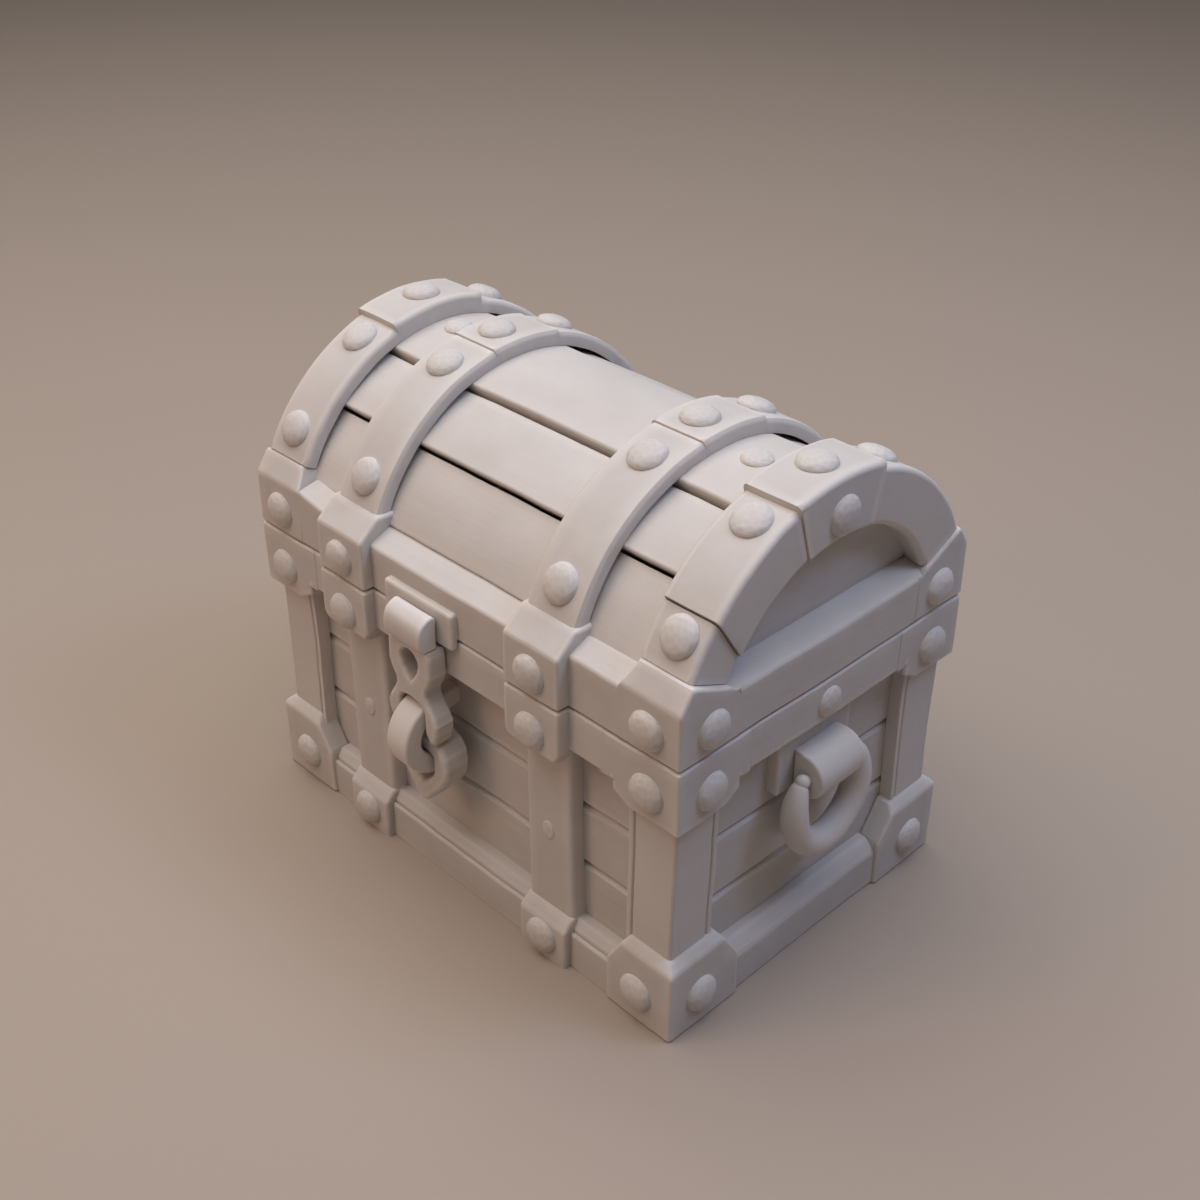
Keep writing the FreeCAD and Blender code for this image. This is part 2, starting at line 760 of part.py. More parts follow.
# Hasp: a plate with a lug on the lid, a pin, and a barrel with a fork that swing on it

plate_front_y = -rail_y - hasp_plate_thickness
hasp_axis_y = plate_front_y - hasp_gap - hasp_knuckle_radius
barrel_base = lid_base + hasp_barrel_top - hasp_barrel_height
hasp_axis_z = barrel_base + hasp_barrel_height - hasp_knuckle_radius


def hasp_plate():
    left = hasp_plate_left
    right = hasp_plate_right
    low = lid_base - hasp_plate_drop
    slab = block(left, right, plate_front_y, -rail_y, low, low + hasp_plate_height)
    front_edges = [edge for edge in slab.Edges if abs(edge.CenterOfMass.y - plate_front_y) < 1e-6]
    relief = block(left, right, -rail_y - hasp_plate_relief, -rail_y, low, lid_base)
    plate = slab.makeChamfer(hasp_plate_bevel, front_edges).cut(relief)
    lug_x = hasp_x - hasp_lug_width / 2
    on_axis = (lug_x, hasp_axis_y, hasp_axis_z)
    half_stem = hasp_lug_stem / 2
    lug = rod(on_axis, X_AXIS, hasp_lug_radius, hasp_lug_width)
    stem = block(lug_x, lug_x + hasp_lug_width, hasp_axis_y, plate_front_y,
                 hasp_axis_z - half_stem, hasp_axis_z + half_stem)
    bore = rod(on_axis, X_AXIS, hasp_pin_radius + hasp_pin_clearance, hasp_lug_width)
    return plate.multiFuse([lug, stem]).removeSplitter().cut(bore)


def hasp_pin():
    start = (hasp_x - hasp_barrel_width / 2, hasp_axis_y, hasp_axis_z)
    return rod(start, X_AXIS, hasp_pin_radius, hasp_barrel_width - hasp_pin_cover)


def hasp_barrel():
    """D-shaped barrel: flat against the plate, round in front, with a notch for the plate's lug."""
    half = hasp_barrel_width / 2
    back = hasp_axis_y + hasp_knuckle_radius
    front = back - hasp_barrel_depth
    crown_z = hasp_axis_z + hasp_knuckle_radius
    nose_z = barrel_base + hasp_barrel_height / 2
    lip = hasp_barrel_lip

    def at(y, z):
        return FreeCAD.Vector(hasp_x - half, y, z)

    turn = math.sqrt(0.5)
    knee = hasp_knuckle_radius * turn
    shoulder = at(back, hasp_axis_z)
    round_back = at(hasp_axis_y + knee, hasp_axis_z + knee)
    crown = at(hasp_axis_y, crown_z)
    brow = at(hasp_axis_y + (front - hasp_axis_y) * turn, nose_z + (crown_z - nose_z) * turn)
    nose = at(front, nose_z)
    lip_top = at(front, barrel_base + lip)
    lip_foot = at(front + lip, barrel_base)
    heel = at(back, barrel_base)
    curves = [Part.LineSegment(heel, shoulder), Part.Arc(shoulder, round_back, crown),
              Part.Arc(crown, brow, nose), Part.LineSegment(nose, lip_top),
              Part.LineSegment(lip_top, lip_foot), Part.LineSegment(lip_foot, heel)]
    section = Part.Face(Part.Wire([curve.toShape() for curve in curves]))
    barrel = section.extrude(X_AXIS * hasp_barrel_width)
    room = hasp_lug_width + 2 * hasp_side_clearance
    notch_radius = hasp_lug_radius + hasp_lug_clearance
    notch = rod((hasp_x - room / 2, hasp_axis_y, hasp_axis_z), X_AXIS, notch_radius, room)
    bore = rod((hasp_x - half, hasp_axis_y, hasp_axis_z), X_AXIS,
               hasp_pin_radius + hasp_pin_clearance, hasp_barrel_width - hasp_pin_cover)
    return barrel.cut(notch).cut(bore).cut(fork_tenon())


fork_back_y = -rail_y - fork_clear
fork_middle_y = fork_back_y - fork_thickness / 2


def fork_tenon():
    half = fork_tenon_width / 2
    deep = fork_tenon_thickness / 2
    return block(hasp_x - half, hasp_x + half, hasp_axis_y - deep, hasp_axis_y + deep,
                 barrel_base, barrel_base + fork_tenon_height)


def hasp_fork():
    """Flat link with an eye, a waist and two legs that straddle the staple."""
    top = barrel_base
    foot = top - fork_length
    gap = staple_width / 2 + fork_arch_clearance
    arch_top = staple_height + staple_bend_radius + staple_thickness / 2 + fork_arch_rise
    tip = fork_leg_tip / 2
    right = [(fork_half_top, top),
             (fork_half_shoulder, top - fork_shoulder_drop),
             (fork_half_waist, top - fork_waist_drop),
             (fork_half_legs, top - fork_flare_drop),
             (fork_half_legs, foot + tip),
             (fork_half_legs - tip, foot),
             (gap, foot),
             (gap, arch_top - fork_arch_corner),
             (gap - fork_arch_corner, arch_top)]
    outline = right + [(-x, z) for x, z in reversed(right)]
    front_y = fork_back_y - fork_thickness
    plate = prism_y([(hasp_x + x, z) for x, z in outline], front_y, fork_back_y)
    eye_z = top - fork_eye_drop
    eye = rod((hasp_x, front_y, eye_z), Y_AXIS, fork_eye_radius, fork_thickness)
    lean = math.acos(fork_eye_radius / fork_eye_point)
    side_x = fork_eye_radius * math.sin(lean)
    side_z = eye_z - fork_eye_radius * math.cos(lean)
    point = [(hasp_x - side_x, side_z), (hasp_x + side_x, side_z), (hasp_x, eye_z - fork_eye_point)]
    return plate.cut(eye).cut(prism_y(point, front_y, fork_back_y)).fuse(fork_tenon()).removeSplitter()


# Staple and lock ring

staple_bow_y = -wall_y - staple_reach


def oval(centre, wide, wide_half, high, high_half):
    """Closed oval round a point, longest along the first direction."""
    oval = Part.Ellipse(centre + wide * wide_half, centre + high * high_half, centre)
    return Part.Wire(oval.toShape())


def staple_solid():
    """Thick half ring of oval bar whose two legs run into the front wall."""
    root_y = staple_root - wall_y

    def at(y, z):
        return FreeCAD.Vector(hasp_x, y, z)

    low = staple_height - staple_bend_radius
    high = staple_height + staple_bend_radius
    nose = at(staple_bow_y - staple_bend_radius, staple_height)
    path = Part.Wire([Part.LineSegment(at(root_y, low), at(staple_bow_y, low)).toShape(),
                      Part.Arc(at(staple_bow_y, low), nose, at(staple_bow_y, high)).toShape(),
                      Part.LineSegment(at(staple_bow_y, high), at(root_y, high)).toShape()])
    section = oval(at(root_y, low), X_AXIS, staple_width / 2, Z_AXIS, staple_thickness / 2)
    return path.makePipeShell([section], True, False)


def rounded_loop(corners, radius, y):
    """Closed wire with rounded corners at (x, z) points, and the point midway on its first run."""
    points = [FreeCAD.Vector(x, y, z) for x, z in corners]
    count = len(points)
    tangents = []
    for index, corner in enumerate(points):
        before = (points[index - 1] - corner).normalize()
        after = (points[(index + 1) % count] - corner).normalize()
        half = before.getAngle(after) / 2
        reach = radius / math.tan(half)
        bisector = (before + after).normalize()
        middle = corner + bisector * (radius / math.sin(half) - radius)
        tangents.append((corner + before * reach, middle, corner + after * reach))
    start = (tangents[-1][2] + tangents[0][0]) * 0.5
    edges = []
    here = start
    for entry, middle, leave in tangents:
        edges.append(Part.LineSegment(here, entry).toShape())
        edges.append(Part.Arc(entry, middle, leave).toShape())
        here = leave
    edges.append(Part.LineSegment(here, start).toShape())
    return Part.Wire(edges), start


def lock_ring():
    """Shield-shaped ring of oval bar that hangs on the lower leg of the staple."""
    leg_top = staple_height - staple_bend_radius + staple_thickness / 2
    bar_z = leg_top + lock_ring_hang + lock_ring_limb / 2
    y = -wall_y - lock_ring_out
    side_z = bar_z - lock_ring_side_drop
    half = lock_ring_half_width
    tip_z = bar_z - lock_ring_drop
    corners = [(half, bar_z), (half, side_z), (0, tip_z), (-half, side_z), (-half, bar_z)]
    path, start = rounded_loop([(hasp_x + x, z) for x, z in corners], lock_ring_corner_radius, y)
    section = oval(start, Y_AXIS, lock_ring_thickness / 2, Z_AXIS, lock_ring_limb / 2)
    return path.makePipeShell([section], True, False)


# Ring handle at the right end

handle_x = wall_x + handle_plate_thickness
pivot_x = wall_x + handle_pivot_out


def handle_plate():
    top = top_rail_base
    half = handle_plate_half_width
    slab = block(wall_x, handle_x, -half, half, top - handle_plate_height, top)
    outer_edges = [edge for edge in slab.Edges
                   if abs(edge.CenterOfMass.x - handle_x) < 1e-6 and edge.CenterOfMass.z < top - 1e-6]
    return slab.makeChamfer(handle_plate_bevel, outer_edges)


def handle_barrel():
    """Fixed D-shaped barrel with a blind bore in each end for the ring."""
    centre_x = handle_x + handle_barrel_depth - handle_barrel_radius
    low = handle_barrel_height - handle_barrel_radius
    high = handle_barrel_height + handle_barrel_radius
    half = handle_barrel_half_width
    nose = rod((centre_x, -half, handle_barrel_height), Y_AXIS, handle_barrel_radius, 2 * half)
    root = block(handle_x, centre_x, -half, half, low, high)
    barrel = nose.fuse(root).removeSplitter().common(
        block(handle_x, centre_x + handle_barrel_radius, -half, half, low, high))
    bore_radius = handle_trunnion_radius + handle_bore_clearance
    depth = handle_trunnion_length
    for start in (-half, half - depth):
        barrel = barrel.cut(rod((pivot_x, start, handle_pivot_height), Y_AXIS, bore_radius, depth))
    return barrel


def handle_ring():
    """Open ring, thick below and thin at its ends, with a trunnion on each end."""
    end_y = handle_barrel_half_width + handle_end_gap + handle_end_radius
    drop = math.sqrt(handle_ring_radius ** 2 - end_y ** 2)
    centre = FreeCAD.Vector(pivot_x, 0, handle_pivot_height - drop)
    left = FreeCAD.Vector(pivot_x, -end_y, handle_pivot_height)
    right = FreeCAD.Vector(pivot_x, end_y, handle_pivot_height)
    bottom = centre - Z_AXIS * handle_ring_radius
    spine = Part.Wire([Part.Arc(left, centre - Y_AXIS * handle_ring_radius, bottom).toShape(),
                       Part.Arc(bottom, centre + Y_AXIS * handle_ring_radius, right).toShape()])
    sections = [(left, handle_end_radius), (bottom, handle_wire_radius), (right, handle_end_radius)]
    sweep = Part.BRepOffsetAPI.MakePipeShell(spine)
    for place, radius in sections:
        along = X_AXIS.cross(place - centre)
        sweep.add(Part.Wire(Part.makeCircle(radius, place, along)))
    sweep.build()
    sweep.makeSolid()
    ring = sweep.shape()
    reach = handle_end_radius + handle_trunnion_length
    for place, inward in ((left, Y_AXIS), (right, -Y_AXIS)):
        ring = ring.fuse(Part.makeSphere(handle_end_radius, place))
        ring = ring.fuse(Part.makeCylinder(handle_trunnion_radius, reach, place, inward))
    return ring.removeSplitter()


# The whole chest, node by node

def at_straps(shapes):
    """Each shape at both straps."""
    return [moved_x(shape, x) for shape in shapes for x in strap_centres]


def at_back(shapes):
    return [mirror_y(shape) for shape in shapes]


def at_ends(shapes):
    """Each shape and its mirror image at the left end."""
    return shapes + [mirror_x(shape) for shape in shapes]


def at_corners(shapes):
    return [each for shape in shapes for each in at_four_corners(shape)]


def walls_and_rails(rail_heads):
    nodes = {}
    nodes["floor_board"] = [floor_board()]
    nodes["front_planks"] = front_planks()
    nodes["back_planks"] = at_back(wall_planks(wall_x, inner_y, wall_y))
    nodes["right_planks"] = end_planks()
    nodes["left_planks"] = [mirror_x(plank) for plank in nodes["right_planks"]]
    corner_names = ("front_right", "front_left", "back_right", "back_left")
    for name, post in zip(corner_names, at_four_corners(corner_post())):
        nodes["corner_post_" + name] = [post]
    nodes["bottom_rail_front"] = [bottom_rail_front()]
    nodes["bottom_rail_back"] = [mirror_y(bottom_rail_front())]
    nodes["bottom_rail_right"] = [bottom_rail_right()]
    nodes["bottom_rail_left"] = [mirror_x(bottom_rail_right())]
    nodes["top_rail_front"] = [top_rail_front()]
    nodes["top_rail_back"] = [mirror_y(top_rail_front())]
    nodes["top_rail_right"] = [top_rail_right(rail_heads)]
    nodes["top_rail_left"] = [mirror_x(nodes["top_rail_right"][0])]
    return nodes


def box_fittings(rail_heads, lid_leaf_heads):
    """Nodes of the box's ironwork, and the lid's leaf of one hinge."""
    nodes = {}
    corner_heads = []
    head_heads = []
    foot_heads = []
    hinge_heads = []
    nails = []
    nodes["foot_brackets"] = at_four_corners(foot_bracket(corner_heads))
    nodes["rim_brackets"] = at_four_corners(rim_bracket(corner_heads))
    nodes["front_straps"] = at_straps([strap(nails)])
    nodes["back_straps"] = at_back(nodes["front_straps"])
    front_feet = at_straps([strap_foot(foot_heads)])
    nodes["strap_feet"] = front_feet + at_back(front_feet)
    head = riveted(strap_head_blank(), [strap_head_seat()], head_heads)
    nodes["strap_heads"] = at_straps([head])
    base_leaf, lid_leaf = hinge_leaves(hinge_heads, lid_leaf_heads)
    nodes["base_hinge_leaves"] = at_back(at_straps([base_leaf]))
    nodes["hinge_pins"] = at_back(at_straps([hinge_pin()]))
    nodes["staple"] = [staple_solid()]
    nodes["ring_plates"] = at_ends([handle_plate()])
    nodes["ring_barrels"] = at_ends([handle_barrel()])
    front_nails = at_straps(nails)
    nodes["strap_nails"] = front_nails + at_back(front_nails)
    front_heads = at_straps(head_heads + foot_heads)
    back_heads = at_back(at_straps(hinge_heads + foot_heads))
    nodes["body_rivets"] = at_corners(corner_heads) + front_heads + back_heads + at_ends(rail_heads)
    return nodes, lid_leaf


def lid_shell(bracket_heads, plank_heads):
    nodes = {}
    nodes["lid_rail_front"] = [lid_rail_front()]
    nodes["lid_rail_back"] = [mirror_y(lid_rail_front())]
    nodes["lid_rail_right"] = [lid_rail_right()]
    nodes["lid_rail_left"] = [mirror_x(lid_rail_right())]
    nodes["lid_brackets"] = at_four_corners(lid_bracket(bracket_heads))
    upper = vault_plank(upper_plank_angle, ridge_plank_angle + plank_slit_angle)
    lower = vault_plank(plank_start, upper_plank_angle + plank_slit_angle)
    nodes["lid_ridge_plank"] = [ridge_plank(plank_heads)]
    nodes["lid_upper_planks"] = [upper, mirror_y(upper)]
    nodes["lid_lower_planks"] = [lower, mirror_y(lower)]
    nodes["lid_end_panel_right"] = [end_panel()]
    nodes["lid_end_panel_left"] = [mirror_x(end_panel())]
    return nodes


def lid_fittings(lid_leaf, lid_leaf_heads, bracket_heads, plank_heads):
    nodes = {}
    strap_rivets = []
    ridge_heads = []
    left_heads = []
    right_heads = []
    back_heads = []
    front, ridge, back = middle_band(strap_rivets)
    nodes["middle_band_front"] = at_straps([front])
    nodes["middle_band_ridge"] = at_straps([ridge])
    nodes["middle_band_back"] = at_straps([back])
    nodes["end_band_ridge"] = at_ends([end_band_ridge(ridge_heads)])
    left_front = mirror_x(end_band_side(end_ridge_front_angle, left_heads))
    nodes["end_band_front"] = [end_band_upper(right_heads), left_front]
    nodes["end_band_foot"] = [end_band_foot(right_heads)]
    nodes["end_band_back"] = at_back(at_ends([end_band_side(-end_ridge_back_angle, back_heads)]))
    head = riveted(lid_head_blank(), [lid_head_seat()], strap_rivets)
    nodes["lid_strap_heads"] = at_straps([head])
    nodes["lid_hinge_leaves"] = at_back(at_straps([lid_leaf]))
    nodes["hasp_plate"] = [hasp_plate()]
    nodes["hasp_pin"] = [hasp_pin()]
    end_heads = right_heads + [mirror_x(head) for head in left_heads]
    nodes["lid_rivets"] = (at_corners(bracket_heads) + at_straps(strap_rivets)
                           + at_back(at_straps(lid_leaf_heads) + at_ends(back_heads))
                           + end_heads + at_ends(ridge_heads) + plank_heads)
    return nodes


def moving_pieces():
    nodes = {}
    nodes["hasp_barrel"] = [hasp_barrel()]
    nodes["hasp_fork"] = [hasp_fork()]
    nodes["lock_ring"] = [lock_ring()]
    nodes["ring_right"] = [handle_ring()]
    nodes["ring_left"] = [mirror_x(handle_ring())]
    return nodes


def build():
    """Every node's solids by name."""
    rail_heads = []
    lid_leaf_heads = []
    bracket_heads = []
    plank_heads = []
    nodes = walls_and_rails(rail_heads)
    fittings, lid_leaf = box_fittings(rail_heads, lid_leaf_heads)
    nodes.update(fittings)
    nodes.update(lid_shell(bracket_heads, plank_heads))
    nodes.update(lid_fittings(lid_leaf, lid_leaf_heads, bracket_heads, plank_heads))
    nodes.update(moving_pieces())
    return nodes


os.makedirs("parts", exist_ok=True)
for node, solids in build().items():
    shape = solids[0] if len(solids) == 1 else Part.makeCompound(solids)
    shape.exportStep("parts/" + node + ".step")
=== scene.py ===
import math
import random

import bmesh
import bpy
from mathutils import Matrix, Vector, noise


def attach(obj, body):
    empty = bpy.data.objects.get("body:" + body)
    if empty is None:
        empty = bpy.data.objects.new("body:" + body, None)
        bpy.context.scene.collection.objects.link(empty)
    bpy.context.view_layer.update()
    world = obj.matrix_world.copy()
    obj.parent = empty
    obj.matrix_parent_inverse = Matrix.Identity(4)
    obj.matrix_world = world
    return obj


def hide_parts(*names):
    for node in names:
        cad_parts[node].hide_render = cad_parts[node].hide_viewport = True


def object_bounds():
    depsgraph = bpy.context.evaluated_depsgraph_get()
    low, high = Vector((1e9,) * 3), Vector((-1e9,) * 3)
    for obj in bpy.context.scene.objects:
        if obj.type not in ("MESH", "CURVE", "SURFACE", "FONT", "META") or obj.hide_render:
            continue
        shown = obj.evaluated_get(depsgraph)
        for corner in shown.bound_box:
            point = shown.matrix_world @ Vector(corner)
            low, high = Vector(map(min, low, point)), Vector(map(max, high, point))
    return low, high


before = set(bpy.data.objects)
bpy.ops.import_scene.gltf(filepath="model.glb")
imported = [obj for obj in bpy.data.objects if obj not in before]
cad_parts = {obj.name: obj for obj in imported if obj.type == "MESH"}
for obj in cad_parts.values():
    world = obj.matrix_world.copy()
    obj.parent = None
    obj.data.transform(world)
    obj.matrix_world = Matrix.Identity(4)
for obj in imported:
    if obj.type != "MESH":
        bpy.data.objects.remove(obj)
cad_low, cad_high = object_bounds()
# A fixed seed keeps the slow unevenness the same in each run
noise.seed_set(5)

X, Y, Z = 0, 1, 2
MM = 0.001

# How near two places count as one, in turn for picking edges, merging points, cutting and dividing
NEAR = 0.01
SAME_POINT = 0.001
CUT_SNAP = 0.0005
DIVIDE_SNAP = 0.05

# Sizes in millimetres, most of them as in the part's source; the front faces -Y
RAIL_X = 79.0
RAIL_Y = 53.2
UPPER_X = 79.6
UPPER_Y = 53.8
BRACKET_X = UPPER_X + 0.1
BRACKET_Y = UPPER_Y + 0.1
FOOT_BRACKET_X = 80.0
FOOT_BRACKET_Y = 54.2
WALL_X = 73.1
WALL_Y = 47.3
INNER_X = 69.1
INNER_Y = 43.3
POST_X = 77.2
POST_Y = 51.4
POST_WIDTH = 15.0
FLOOR_TOP = 5.0
BOTTOM_RAIL_TOP = 15.0
BOTTOM_END_X = 57.5
BOTTOM_END_Y = 28.7
TOP_RAIL_BASE = 72.5
RIM = 84.8
RIM_END_X = 55.4
RIM_END_Y = 28.6
COURSES = (0.0, 14.0, 33.0, 52.0, 71.0, RIM)
END_COURSES = (0.0, 11.4, 30.4, 49.9, 69.4, RIM)
LID_BASE = 85.3
LID_FACE_TOP = 98.5
LID_SLOPE = 6.2
LID_RAIL_TOP = 101.3
LID_INNER_Y = 44.0
LID_END_X = 60.4
LID_END_Y = 33.6
PANEL_X = 72.6
STRAPS = (-38.4, 34.7)
STRAP_Y = 51.9
STRAP_HALF = 8.2
CAP_HALF = 9.6
FOOT_HALF = 8.5
HEAD_Y = 57.4
FOOT_Y = 55.4
VAULT_Z = 83.5
VAULT_INNER = 46.6
PLANK_LOW = 51.0
PLANK_HIGH = 48.9
BAND_INNER = 51.05
BAND_OUTER = 54.85
END_FACE = 78.8
RAIL_EASE = 0.8
IRON_EASE = 0.9


# Small helps

def all_of(bm):
    """All points, edges and faces of a shape."""
    return bm.verts[:] + bm.edges[:] + bm.faces[:]


def of_kind(kind, found):
    """Those of an operator's results that are of one kind."""
    return [each for each in found if isinstance(each, kind)]


def limited(value):
    """Value held between 0 and 1."""
    return min(1.0, max(0.0, value))


def runs(a, b, axis, length=1.0):
    """Whether an edge from a to b goes further than a length along an axis."""
    return abs(a[axis] - b[axis]) > length


def both_at(a, b, axis, place, slack=NEAR):
    """Whether both ends of an edge lie at a place on an axis."""
    return max(abs(a[axis] - place), abs(b[axis] - place)) < slack


# Making shapes

def block(x0, x1, y0, y1, z0, z1):
    """Box between two corners."""
    bm = bmesh.new()
    bmesh.ops.create_cube(bm, size=1.0)
    bmesh.ops.scale(bm, vec=(x1 - x0, y1 - y0, z1 - z0), verts=bm.verts)
    bmesh.ops.translate(bm, vec=((x0 + x1) / 2, (y0 + y1) / 2, (z0 + z1) / 2), verts=bm.verts)
    return bm


def drawn_out(outline, axis, start, end):
    """Flat outline drawn out along an axis: (y, z) along X, (x, z) along Y, (x, y) along Z."""
    bm = bmesh.new()
    corners = []
    for pair in outline:
        corner = list(pair)
        corner.insert(axis, start)
        corners.append(bm.verts.new(corner))
    made = bmesh.ops.extrude_face_region(bm, geom=[bm.faces.new(corners)])
    reach = [0, 0, 0]
    reach[axis] = end - start
    bmesh.ops.translate(bm, vec=reach, verts=of_kind(bmesh.types.BMVert, made["geom"]))
    bmesh.ops.recalc_face_normals(bm, faces=bm.faces)
    return bm


def on_vault(x, radius, angle):
    """Point on the lid's vault, with the angle in degrees from the top towards the front."""
    turn = math.radians(angle)
    return Vector((x, -radius * math.sin(turn), VAULT_Z + radius * math.cos(turn)))


def radius_of(point):
    """Distance of a point from the line through the vault's centre."""
    return math.hypot(point.y, point.z - VAULT_Z)


def round_vault(section, low_angle, high_angle):
    """Section of (x, radius) points spun round the vault from one angle to the other."""
    step = 2.5
    sweep = high_angle - low_angle
    bm = bmesh.new()
    bm.faces.new([bm.verts.new(on_vault(x, radius, low_angle)) for x, radius in section])
    bmesh.ops.spin(bm, geom=all_of(bm), cent=(0, 0, VAULT_Z), axis=(1, 0, 0), angle=math.radians(sweep),
                   steps=max(2, round(abs(sweep) / step)), use_merge=False)
    bmesh.ops.remove_doubles(bm, verts=bm.verts, dist=SAME_POINT)
    bmesh.ops.recalc_face_normals(bm, faces=bm.faces)
    return bm


def sliced(bm, point, normal):
    """Cut away what lies beyond a plane, and close the cut."""
    cut = bmesh.ops.bisect_plane(bm, geom=all_of(bm), plane_co=point, plane_no=normal, dist=CUT_SNAP,
                                 clear_outer=True)
    bmesh.ops.holes_fill(bm, edges=of_kind(bmesh.types.BMEdge, cut["geom_cut"]), sides=0)
    bmesh.ops.recalc_face_normals(bm, faces=bm.faces)
    return bm


def eased(bm, radius, segments=3, where=None, clamp=True):
    """Round the outward edges, or only those that where() picks by their two ends."""
    least_turn = math.radians(20)
    edges = []
    for edge in bm.edges:
        if len(edge.link_faces) == 2 and edge.calc_face_angle_signed() > least_turn:
            if where is None or where(edge.verts[0].co, edge.verts[1].co):
                edges.append(edge)
    bmesh.ops.bevel(bm, geom=edges, offset=radius, offset_type="OFFSET", segments=segments, profile=0.5,
                    affect="EDGES", clamp_overlap=clamp, material=-1)
    return bm


def divided(bm, steps):
    """Cut across the faces at regular places along X, Y and Z, so that they can follow a worked surface."""
    for axis, step in enumerate(steps):
        if not step:
            continue
        places = [vert.co[axis] for vert in bm.verts]
        normal = [0, 0, 0]
        normal[axis] = 1
        here = math.ceil(min(places) / step) * step
        while here < max(places):
            point = [0, 0, 0]
            point[axis] = here
            bmesh.ops.bisect_plane(bm, geom=all_of(bm), plane_co=point, plane_no=normal, dist=DIVIDE_SNAP)
            here += step
    return bm


def mirrored(bm, axis):
    """Mirror image across the plane through the origin, with outward faces."""
    other = bm.copy()
    scale = [1, 1, 1]
    scale[axis] = -1
    bmesh.ops.scale(other, vec=scale, verts=other.verts)
    bmesh.ops.reverse_faces(other, faces=other.faces)
    return other


def shifted(bm, x):
    """Copy moved along X."""
    other = bm.copy()
    bmesh.ops.translate(other, vec=(x, 0, 0), verts=other.verts)
    return other


def joined(parts):
    """Several shapes as one mesh."""
    whole = bmesh.new()
    for part in parts:
        scrap = bpy.data.meshes.new("scrap")
        part.to_mesh(scrap)
        part.free()
        whole.from_mesh(scrap)
        bpy.data.meshes.remove(scrap)
    return whole


def at_straps(bm):
    """Copies of a shape in the places of the two straps."""
    return [shifted(bm, x) for x in STRAPS]


def at_ends(bm):
    """The right end's shape at both ends, as one mesh."""
    return joined([bm, mirrored(bm, X)])


def at_corners(bm):
    """The front right corner's shape at all four corners."""
    pair = [bm, mirrored(bm, X)]
    return pair + [mirrored(each, Y) for each in pair]


# Working the surface by hand

BOX = [(low / MM, high / MM) for low, high in zip(cad_low, cad_high)]
SLOW_SPAN, SLOW_DEPTH = 34.0, 0.42
QUICK_SPAN, QUICK_DEPTH = 9.0, 0.13
GROUND_FADE = 5.0
GRAIN_LENGTH, GRAIN_WIDTH = 58.0, 1.9
FINE_SCALE, FINE_SHIFT = 2.3, Vector((7.1, 3.3, 9.7))
LINE_SHARE, FINE_SHARE = 0.55, 0.45


def hand_worked(bm, sway=1.0):
    """Slow unevenness, the same for every piece at the same place, held inside the box round the solids."""
    for vert in bm.verts:
        here = vert.co
        slow = noise.noise_vector(here / SLOW_SPAN) * SLOW_DEPTH
        quick = noise.noise_vector(here / QUICK_SPAN) * QUICK_DEPTH
        move = (slow + quick) * sway
        move.z *= limited(here.z / GROUND_FADE)
        vert.co = [min(high, max(low, value)) for value, (low, high) in zip(here + move, BOX)]
    return bm


def grained(bm, along, depth, outward):
    """Shallow grain lines along an axis, drawn into the faces that outward() picks by their normal."""
    bm.normal_update()
    moves = []
    for vert in bm.verts:
        if not outward(vert.normal):
            continue
        spans = [GRAIN_LENGTH if axis == along else GRAIN_WIDTH for axis in (X, Y, Z)]
        across = Vector([value / span for value, span in zip(vert.co, spans)])
        line = noise.noise(across)
        fine = noise.noise(across * FINE_SCALE + FINE_SHIFT)
        moves.append((vert, vert.normal * (-depth * max(0.0, LINE_SHARE * line + FINE_SHARE * fine))))
    for vert, move in moves:
        vert.co += move
    return bm


# Finishes

BONE_PALE = (0.600, 0.560, 0.525)
BONE_DEEP = (0.545, 0.500, 0.462)
RIVET_PALE = (0.620, 0.582, 0.550)
RIVET_DEEP = (0.570, 0.528, 0.494)
# Painted highlight: how much paler than the pale tone the convex edges are coloured
EDGE_HIGHLIGHT = 1.24
ALONG_X = (26.0, 620.0, 620.0)
ALONG_Y = (620.0, 26.0, 620.0)
ALONG_Z = (520.0, 520.0, 24.0)


def filled(node, **values):
    """Set inputs of a node by their names."""
    for name, value in values.items():
        node.inputs[name].default_value = value
    return node


def relief(tree, height, strength, distance, below=None):
    """Bump from a height output, laid over another bump."""
    node = filled(tree.nodes.new("ShaderNodeBump"), Strength=strength, Distance=distance)
    tree.links.new(height, node.inputs["Height"])
    if below:
        tree.links.new(below.outputs["Normal"], node.inputs["Normal"])
    return node


